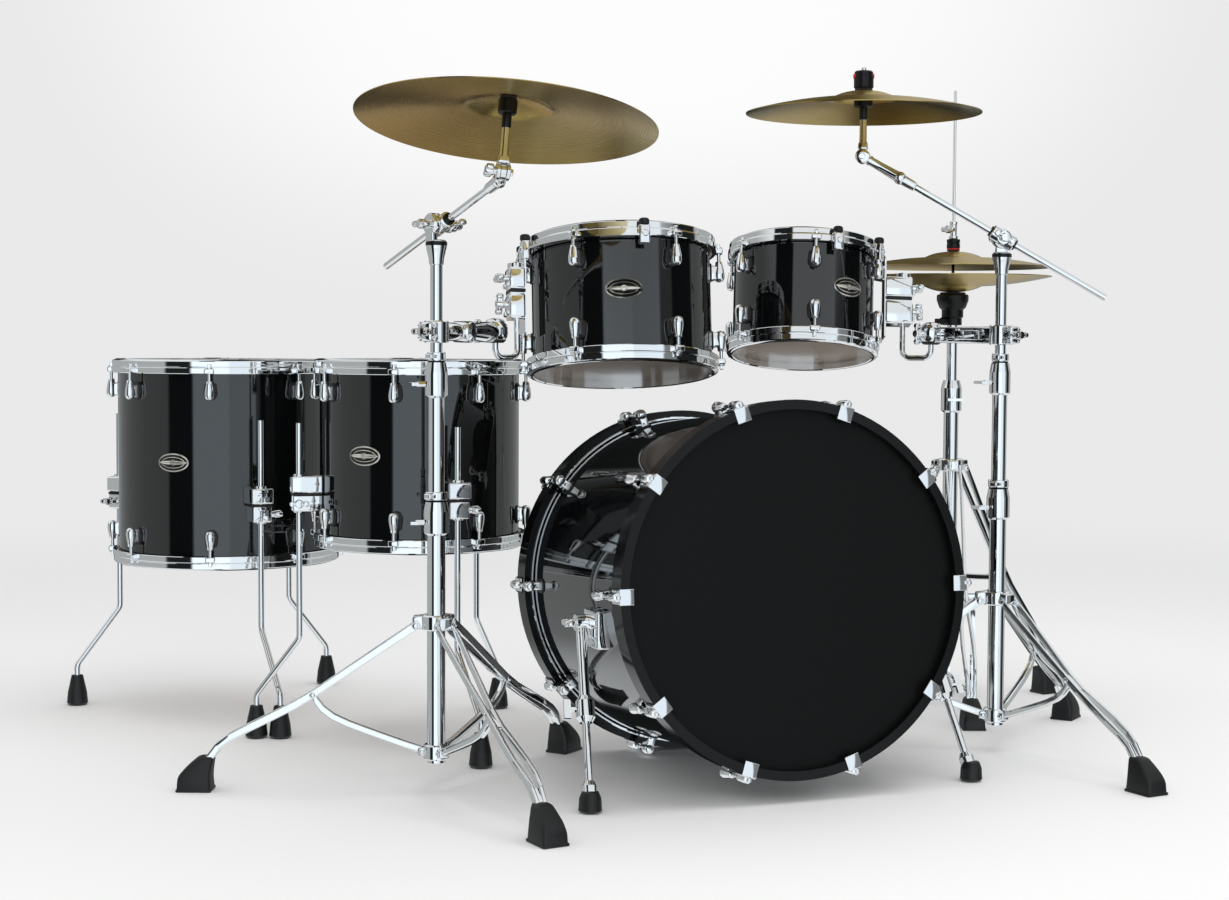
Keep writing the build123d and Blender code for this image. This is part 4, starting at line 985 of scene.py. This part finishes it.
def dress_arm(stand):
    """The tom arm: the clamp on its tube, the arm itself, and the clamp for the ball."""
    body = f"{stand.name}_tom_arm"
    out = heading(stand.arm_bearing)
    across = heading(stand.arm_bearing + 90)
    level = stand.foot + UP * ARM_HEIGHT
    clamp = turned_ring(
        [(9.8, -17.4), (17.6, -17.4), (19.6, -15.4), (19.6, 15.4), (17.6, 17.4), (9.8, 17.4)], 40,
        at=frame_at(level, UP, out),
    )
    jaw = eased_block(33, 24, 22, 4, (0.9, 0.8), at=frame_at(level - out * 13, -out, UP))
    outline = [(4.2, -16), (5.4, -15), (5.4, -12), (3, -12), (3, 12), (5.4, 12), (5.4, 15), (4.2, 16)]
    bolts = [
        turned(outline, 12, at=frame_at(level - out * 27 + UP * rise, across, UP)) for rise in (-9.5, 9.5)
    ]
    beam = flat_beam if stand.flat_arm else round_beam
    arm = beam(frame_at(level + out * ARM_START, out, UP), stand.arm_length - ARM_START)
    ball = level + out * stand.arm_length
    at_ball = frame_at(ball, UP, out)
    outline = [(12.9, -12), (17, -12), (20, -8), (21, -1), (21, 7), (19, 13), (15.6, 17.4), (12.9, 17.4)]
    grip = turned_ring(outline, 44, 45, at=at_ball)
    lid = turned([(15.2, 16.8), (15.6, 18.4), (13, 21), (7, 22.6), (3, 23)], 40, 45, at=at_ball)
    ball_bolt = wing_bolt(8, 34, frame_at(ball + across * 19 + UP * 2, across, UP))
    tube_bolt = wing_bolt(7, 30, frame_at(level - out * 33, -out, across))
    made = joined([clamp, jaw, *bolts, *arm, grip, lid, ball_bolt, tube_bolt])
    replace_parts(fitted(f"{body}_casting", made, AS_MADE, body, CHROME), f"{stand.name}_tom_arm")
    skirt = turned_ring([(10.5, -17.6), (14, -17.2), (17.6, -13.8), (17.8, -12.2), (10.5, -12.2)], 40)
    fitted(f"{body}_skirt", skirt, [at_ball], body, RUBBER)


def memory_lock(bore):
    """A hinged collar that marks a tube's height, with its key screw."""
    outline = [(bore, 0), (bore + 4, 0), (bore + 5, 1), (bore + 5, 12), (bore + 4, 13), (bore, 13)]
    collar = turned_ring(outline, 36)
    lug = eased_block(12, 12, 9, 2, at=shift(bore + 7, 0, 2))
    square = eased_block(5.6, 5.6, 7, 0.8, at=shift(bore + 8, 5, 6.5) @ ACROSS_Y)
    return joined([collar, lug, square])


def dress_tubes(stand):
    """Height marks on both inner tubes and the nylon rings they stand on."""
    for body, bore, height in ((f"{stand.name}_middle", 12.75, 464.0), (f"{stand.name}_upper", 9.55, 683.0)):
        seat = frame_at(stand.foot + UP * height, UP, heading(stand.legs[1] + 60))
        fitted(f"{body}_memory_lock", memory_lock(bore), [seat], body, CHROME)
    for body, bore, height in (("kit", 12.9, 461), (f"{stand.name}_middle", 9.7, 680)):
        ring = turned_ring([(bore, 0), (bore + 3.6, 0), (bore + 3.6, 2), (bore + 3, 2.6), (bore, 2.6)], 36)
        fitted(f"{stand.name}_ring_{height}", ring, [stand.upright(height)], body, PLASTIC)


for stand in STANDS:
    dress_stem(stand)
    dress_cup(stand)
    dress_boom(stand)
    dress_upper(stand)
    dress_tilter(stand)
    dress_arm(stand)
    dress_tubes(stand)


# ---------------------------------------- tripods
def drawn_bar(sections, ease=1.3):
    """Draw a bar along z from one section to the next: (across, rise, height, width, depth)."""
    last = sections[0]
    blank(bpy.ops.mesh.primitive_plane_add, size=1, location=last[:3])
    bpy.ops.transform.resize(value=(last[3], last[4], 1))
    for section in sections[1:]:
        step = [new - old for new, old in zip(section[:3], last[:3])]
        pull(*step, (section[3] / last[3], section[4] / last[4], 1))
        last = section
    bpy.ops.mesh.select_all(action="SELECT")
    bpy.ops.mesh.normals_make_consistent(inside=False)
    bpy.ops.mesh.select_all(action="DESELECT")
    bpy.ops.mesh.edges_select_sharp(sharpness=radians(50))
    bpy.ops.mesh.bevel(offset=ease, segments=3, affect="EDGES")
    return stop_editing(42)


# A tripod leg's rail: how far along, how far off the middle, how far above a straight leg, and its width.
# How far along and how far above are shares of the leg's length.
RAIL = (
    (0.0, 13.4, 0.0, 4.2), (0.1, 13.4, 0.0, 4.2), (0.3, 9.8, 0.0, 5.0), (0.47, 6.2, 0.0, 6.0),
    (0.56, 5.6, 0.005, 6.4), (0.66, 8.4, 0.018, 5.6), (0.76, 10.4, 0.032, 5.2), (0.84, 9.4, 0.041, 5.4),
    (0.9, 7.0, 0.038, 6.0), (0.95, 6.0, 0.021, 6.6), (1.0, 6.0, 0.0, 6.6),
)
RAIL_DEEP = 12.4
WEB_DEEP = 8.4
# The sections of the rail between which the two rails meet, and the width of the web there
WAIST = (RAIL[3:5], 7)
ANKLE = (RAIL[8:], 8)
# A strut's bow: how far along, and how far off a straight strut, as shares of its length
STRUT = (
    (0.0, 0.0), (0.2, -0.03), (0.45, -0.062), (0.65, -0.084), (0.78, -0.088), (0.88, -0.07), (0.95, -0.036),
    (1.0, 0.0),
)
STRUT_TOP = 0.49  # where a strut meets its leg, as a share of the leg's length


def pressed_leg(length):
    """A tripod leg as two rails that part, meet and part again, with the webs between them."""
    made = []
    for side in (-1, 1):
        rail = [
            (side * aside, rise * length, far * length, width, RAIL_DEEP) for far, aside, rise, width in RAIL
        ]
        made.append(drawn_bar(rail))
    for sections, wide in (WAIST, ANKLE):
        web = [(0, rise * length, far * length, wide, WEB_DEEP) for far, _, rise, _ in sections]
        made.append(drawn_bar(web, 0.8))
    return joined(made)


def curved_strut(length):
    """A tripod's strut, bowed down and outwards."""
    return drawn_bar([(0, sag * length, far * length, 10, 11) for far, sag in STRUT], 1.8)


def cross_pin(half, thick):
    """A riveted pin with domed heads."""
    profile = [(thick * 0.5, -half - 2), (thick * 1.3, -half - 0.6), (thick * 1.4, -half), (thick, -half)]
    mirrored = [(wide, -rise) for wide, rise in reversed(profile)]
    return turned(profile + mirrored, 24)


def tripod_collar(height, radius):
    """A collar round a tripod's tube."""
    low = height - 12
    high = height + 12
    outline = [
        (14.5, low), (radius - 2, low), (radius, low + 2), (radius, high - 2), (radius - 2, high),
        (14.5, high),
    ]
    return turned_ring(outline, 48)


def dress_tripod(name, foot, bearings, radius, collar, foot_collar):
    """A tripod: its two collars, the bent legs and the curved struts that hold them out."""
    upright = frame_at(foot, UP)
    pieces = [moved(tripod_collar(collar, 24), upright), moved(tripod_collar(foot_collar, 20), upright)]
    for bearing in bearings:
        across = UP.cross(heading(bearing))
        top = foot + heading(bearing, 26, collar - 1)
        leg = foot + heading(bearing, radius - 10, 34) - top
        slope = leg.normalized()
        low = foot + heading(bearing, 17, foot_collar)
        end = top + slope * STRUT_TOP * leg.length
        strut = end - low
        pieces += [
            moved(pressed_leg(leg.length), frame_at(top, slope, across)),
            eased_block(22, 22, 17, 2.6, (0.94, 0.86), at=outward(upright, bearing, 20, collar)),
            moved(cross_pin(15.6, 4), frame_at(top + slope * 7, across, slope)),
            moved(curved_strut(strut.length), frame_at(low, strut, across)),
            eased_block(16, 15, 11, 2.4, (0.92, 0.86), at=outward(upright, bearing, 18, foot_collar)),
            moved(cross_pin(9, 3), frame_at(low + heading(bearing, 6), across, UP)),
            moved(cross_pin(9.4, 3.4), frame_at(end, across, slope)),
        ]
    made = joined(pieces)
    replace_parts(fitted(f"{name}_pressed_tripod", made, AS_MADE, "kit", CHROME), f"{name}_tripod")


def boot():
    """A tripod's rubber boot: a broad sole that rises to a rounded throat behind the toe."""
    blank(bpy.ops.mesh.primitive_cube_add, size=1, location=(1, 0, 12))
    bpy.ops.transform.resize(value=(55, 42, 24))
    pick("polygons", faces_up)
    bpy.ops.transform.resize(value=(0.94, 0.94, 1))
    pull(-8, 0, 16, (0.78, 0.84, 1))
    pull(-11, 0, 16, (0.62, 0.72, 1))
    ease_edges(6, 4)
    upper = stop_editing(60)
    return joined([upper, eased_block(55.6, 42.6, 5, 1.8, at=shift(1, 0, 0))])


HIHAT_FOOT = place(*HIHAT)
# Each tripod's name, its place, the bearings and radius of its feet, and the heights of its two collars
TRIPODS = [(stand.name, stand.foot, stand.legs, stand.leg_radius, 271, 65) for stand in STANDS]
TRIPODS.append(("hihat", HIHAT_FOOT, (9.7, 129.7, -110.3), 262, 474, 254))
boots = []
for name, foot, bearings, radius, collar, foot_collar in TRIPODS:
    dress_tripod(name, foot, bearings, radius, collar, foot_collar)
    boots += [frame_at(foot + heading(bearing, radius), UP, heading(bearing)) for bearing in bearings]
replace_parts(fitted("tripod_boots", boot(), boots, "kit", RUBBER), "tripod_feet")


# ---------------------------------------- hi-hat
BELL_TOP = 892.0
PULL_LINK = 190.7
PEDAL_BEARING = 69.7
HEEL_OUT = 272
HEEL_HEIGHT = 24
TOE_HEIGHT = 186
TILT_BEARING = 195
TILT_HEIGHT = 756
HIHAT_UPRIGHT = frame_at(HIHAT_FOOT, UP)


def above_bell(outline):
    """An outline whose heights are measured from the top cymbal's bell."""
    return [(radius, BELL_TOP + height) for radius, height in outline]


def dress_pull():
    """The pull rod, the barrel and bolt that grip it, and the link at its foot."""
    rod = turned([(2.2, PULL_LINK), (3, PULL_LINK + 1), (3, 1203.6), (2, 1205)], 20)
    outline = [(8, 24), (8.6, 25), (8.6, 30), (6.4, 31), (6.4, 52), (7.4, 53), (7.4, 58), (6, 59.4)]
    barrel = turned(above_bell(outline), 28)
    bolt = wing_bolt(6, 26, outward(ORIGIN, 200, 4, BELL_TOP + 43))
    link = eased_block(16, 8, 12, 1.4, at=frame_at(UP * PULL_LINK, UP, heading(PEDAL_BEARING + 90)))
    made = joined([rod, barrel, bolt, link])
    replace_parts(fitted("hihat_pull_chrome", made, [HIHAT_UPRIGHT], "hihat_pull", CHROME), "hihat_pull_rod")


def dress_clutch():
    """The clutch that holds the top cymbal: its nut, its red ring and its felts."""
    outline = [(11.6, 6.4), (13, 7.4), (13, 15), (12, 15.6), (12, 17), (13, 17.6), (13, 23), (11.8, 24.2)]
    clutch = turned(above_bell(outline), 32)
    fitted("hihat_clutch", clutch, [HIHAT_UPRIGHT], "hihat_pull", PLASTIC)
    ring = turned(above_bell([(11.4, 3.4), (12.6, 4), (12.6, 6), (11.6, 6.6)]), 32)
    fitted("hihat_clutch_ring", ring, [HIHAT_UPRIGHT], "hihat_pull", RED)
    outlines = (
        [(11.4, 0.5), (12.4, 1.3), (12.4, 2.8), (11.4, 3.6)],
        [(11.4, -12), (12.4, -11.2), (12.4, -2.8), (11.4, -2)],
    )
    felts = [turned(above_bell(outline), 32) for outline in outlines]
    fitted("hihat_clutch_felts", joined(felts), [HIHAT_UPRIGHT], "hihat_pull", FELT)


def dress_seat():
    """The seat under the lower cymbal: its cup, the tilt screw and its lever, and a felt."""
    outline = [
        (10.2, 748), (17, 748), (18.4, 749.4), (18.4, 762), (21, 764), (21, 778), (26, 783), (31, 797),
        (31, 806), (29, 808.4), (10.2, 808.4),
    ]
    cup = turned_ring(outline, 40)
    at_tilt = outward(ORIGIN, TILT_BEARING, 17, TILT_HEIGHT)
    screw = turned([(6, 0), (7.6, 1.4), (7.6, 12), (6.4, 13.6)], 24, at=at_tilt)
    lever = eased_block(26, 10, 8, 2, at=outward(ORIGIN, TILT_BEARING, 29, TILT_HEIGHT))
    made = joined([cup, screw, lever])
    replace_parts(fitted("hihat_seat_cup", made, [HIHAT_UPRIGHT], "hihat_upper", PLASTIC), "hihat_seat")
    outline = [(10.2, 808.2), (24, 808.2), (25, 809), (25, 811.6), (23, 812.6), (10.2, 812.6)]
    pad = turned_ring(outline, 36)
    fitted("hihat_seat_felt", pad, [HIHAT_UPRIGHT], "hihat_upper", FELT)


def dress_pedal():
    """Rows of grip studs and a raised edge on the footboard."""
    heel = HIHAT_FOOT + heading(PEDAL_BEARING, HEEL_OUT, HEEL_HEIGHT)
    tread = HIHAT_FOOT + UP * TOE_HEIGHT - heel
    board = frame_at(heel, heading(PEDAL_BEARING + 90).cross(tread), tread)
    stud = turned([(4.6, 2.8), (4.6, 3.8), (3.6, 4.6), (1.6, 4.7)], 20)
    margin = 26
    rows = 10
    columns = 4
    pitch = (tread.length - 2 * margin) / (rows - 1)
    studs = [
        board @ shift(margin + row * pitch, (column - (columns - 1) / 2) * 17, 0)
        for row in range(rows)
        for column in range(columns)
    ]
    fitted("hihat_pedal_studs", stud, studs, "hihat_pedal", RUBBER)
    rail = eased_block(tread.length - 16, 4, 5.4, 1.4, at=shift(tread.length / 2 + 8, 0, -0.4))
    rails = [board @ shift(0, side * 39, 0) for side in (-1, 1)]
    fitted("hihat_pedal_rails", rail, rails, "hihat_pedal", CHROME)


dress_pull()
dress_clutch()
dress_seat()
dress_pedal()

# ---------------------------------------- studio
WALL = (0.82, 0.82, 0.82)
GLOW = (0.985, 0.985, 0.985)
GLOW_AIM = (0.352, 0.909, 0.222)  # towards the middle of the backdrop's glow
GLOW_EDGE = 0.955  # the cosine at which the glow begins
GLOW_CORE = 0.998  # the cosine from which it is full
GLOW_LIFT = 0.12  # how high above the horizon it is full
PAPER_NEAR = 1.2  # where the paper begins to run into the backdrop, in metres
PAPER_FAR = 5.0
EVEN_LIGHT = 0.70


def shader_mix(tree, share, first, second):
    """Blend two shaders by a value."""
    blend = {0: share, 1: first.outputs[0], 2: second.outputs[0]}
    return node(tree, "ShaderNodeMixShader", blend)


def pale_paper():
    material, tree, shader = new_material("pale_paper")
    feed(tree, shader, {"Base Color": (0.92, 0.92, 0.92, 1), "Roughness": 0.7, "Specular IOR Level": 0.1})
    on_paper = node(tree, "ShaderNodeTexCoord").outputs["Object"]
    away = node(tree, "ShaderNodeVectorMath", {0: on_paper}, operation="LENGTH").outputs["Value"]
    glow = node(tree, "ShaderNodeEmission", {"Color": (*WALL, 1)})
    sweep = shader_mix(tree, eased(tree, away, PAPER_NEAR, PAPER_FAR), shader, glow)
    tree.links.new(sweep.outputs[0], tree.nodes["Material Output"].inputs["Surface"])
    return material


bpy.ops.mesh.primitive_plane_add(size=60, location=(0, 0, 0))
floor = bpy.context.object
floor.name = "studio_floor"
floor.data.materials.append(pale_paper())
floor.visible_glossy = False


def glow_behind(tree, direction, height):
    aim = node(tree, "ShaderNodeVectorMath", {0: direction, 1: GLOW_AIM}, operation="DOT_PRODUCT")
    pool = eased(tree, aim.outputs["Value"], GLOW_EDGE, GLOW_CORE)
    lift = eased(tree, height, 0.0, GLOW_LIFT)
    share = node(tree, "ShaderNodeMath", {0: pool, 1: lift}, operation="MULTIPLY")
    return mixed(tree, share.outputs[0], WALL, GLOW)


def flags(tree, around, stops):
    """Bands of light by bearing from -180 to 180 degrees, each (start, colour)."""
    edge = 1.2
    ramp = node(tree, "ShaderNodeValToRGB", {"Fac": around})
    elements = ramp.color_ramp.elements
    last = stops[0][1]
    elements[0].position = 0
    elements[0].color = (*last, 1)
    for bearing, colour in stops[1:]:
        elements.new((bearing + 180 - edge) / 360).color = (*last, 1)
        elements.new((bearing + 180 + edge) / 360).color = (*colour, 1)
        last = colour
    elements[-1].position = 1
    elements[-1].color = (*last, 1)
    return ramp.outputs["Color"]


def reflected_studio(tree, split):
    """What gloss and chrome mirror: pale walls with dark flags between them, in two tiers."""
    bearing = {0: split.outputs["Y"], 1: split.outputs["X"]}
    angle = node(tree, "ShaderNodeMath", bearing, operation="ARCTAN2").outputs[0]
    whole_turn = {"From Min": -pi, "From Max": pi, "Value": angle}
    around = node(tree, "ShaderNodeMapRange", whole_turn).outputs["Result"]
    bright = (1.02, 1.15, 1.25)
    pale = (0.84, 0.94, 1.02)
    white = (0.80, 0.83, 0.85)
    mid = (0.40, 0.42, 0.42)
    dim = (0.20, 0.21, 0.21)
    dark = (0.012, 0.014, 0.014)
    level = flags(
        tree, around,
        [
            (-180, mid), (-164, dark), (-136, bright), (-98, pale), (-60, dim), (-42, dark), (-9, mid),
            (60, dark), (92, mid),
        ],
    )
    high = flags(
        tree, around,
        [(-180, white), (-166, dark), (-135, white), (-20, dark), (-1, white), (60, dark), (84, white)],
    )
    height = node(tree, "ShaderNodeMath", {0: split.outputs["Z"]}, operation="ABSOLUTE").outputs[0]
    tiers = {"Factor": eased(tree, height, 0.30, 0.42), "A": level, "B": high}
    return node(tree, "ShaderNodeMix", tiers, data_type="RGBA").outputs["Result"]


def studio_world():
    """Even light, a pale backdrop, and dark flags that give gloss and chrome their stripes."""
    world = bpy.data.worlds.new("studio")
    bpy.context.scene.world = world
    world.use_nodes = True
    tree = world.node_tree
    tree.nodes.clear()
    direction = node(tree, "ShaderNodeTexCoord").outputs["Generated"]
    split = node(tree, "ShaderNodeSeparateXYZ", {0: direction})
    path = node(tree, "ShaderNodeLightPath").outputs
    backdrop = glow_behind(tree, direction, split.outputs["Z"])
    wall = node(tree, "ShaderNodeBackground", {"Color": backdrop})
    shine = node(tree, "ShaderNodeBackground", {"Color": reflected_studio(tree, split)})
    even = node(tree, "ShaderNodeBackground", {"Color": (1, 1, 1, 1), "Strength": EVEN_LIGHT})
    lit = shader_mix(tree, path["Is Glossy Ray"], even, shine)
    seen = shader_mix(tree, path["Is Camera Ray"], lit, wall)
    clear = shader_mix(tree, path["Is Transmission Ray"], seen, wall)
    node(tree, "ShaderNodeOutputWorld", {0: clear.outputs[0]})


studio_world()


def soft_box(name, place, aim, width, watts):
    bpy.ops.object.light_add(type="AREA", location=place)
    lamp = bpy.context.object
    lamp.name = name
    lamp.data.shape = "RECTANGLE"
    lamp.data.size = width
    lamp.data.size_y = width
    lamp.data.energy = watts
    lamp.rotation_euler = (Vector(aim) - Vector(place)).to_track_quat("-Z", "Y").to_euler()
    lamp.visible_glossy = False


soft_box("overhead", (0.2, -0.6, 3.6), (0, 0, 0.3), 3.2, 58)
soft_box("front_fill", (-1.6, -3.8, 2.4), (0, 0, 0.2), 2.2, 30)
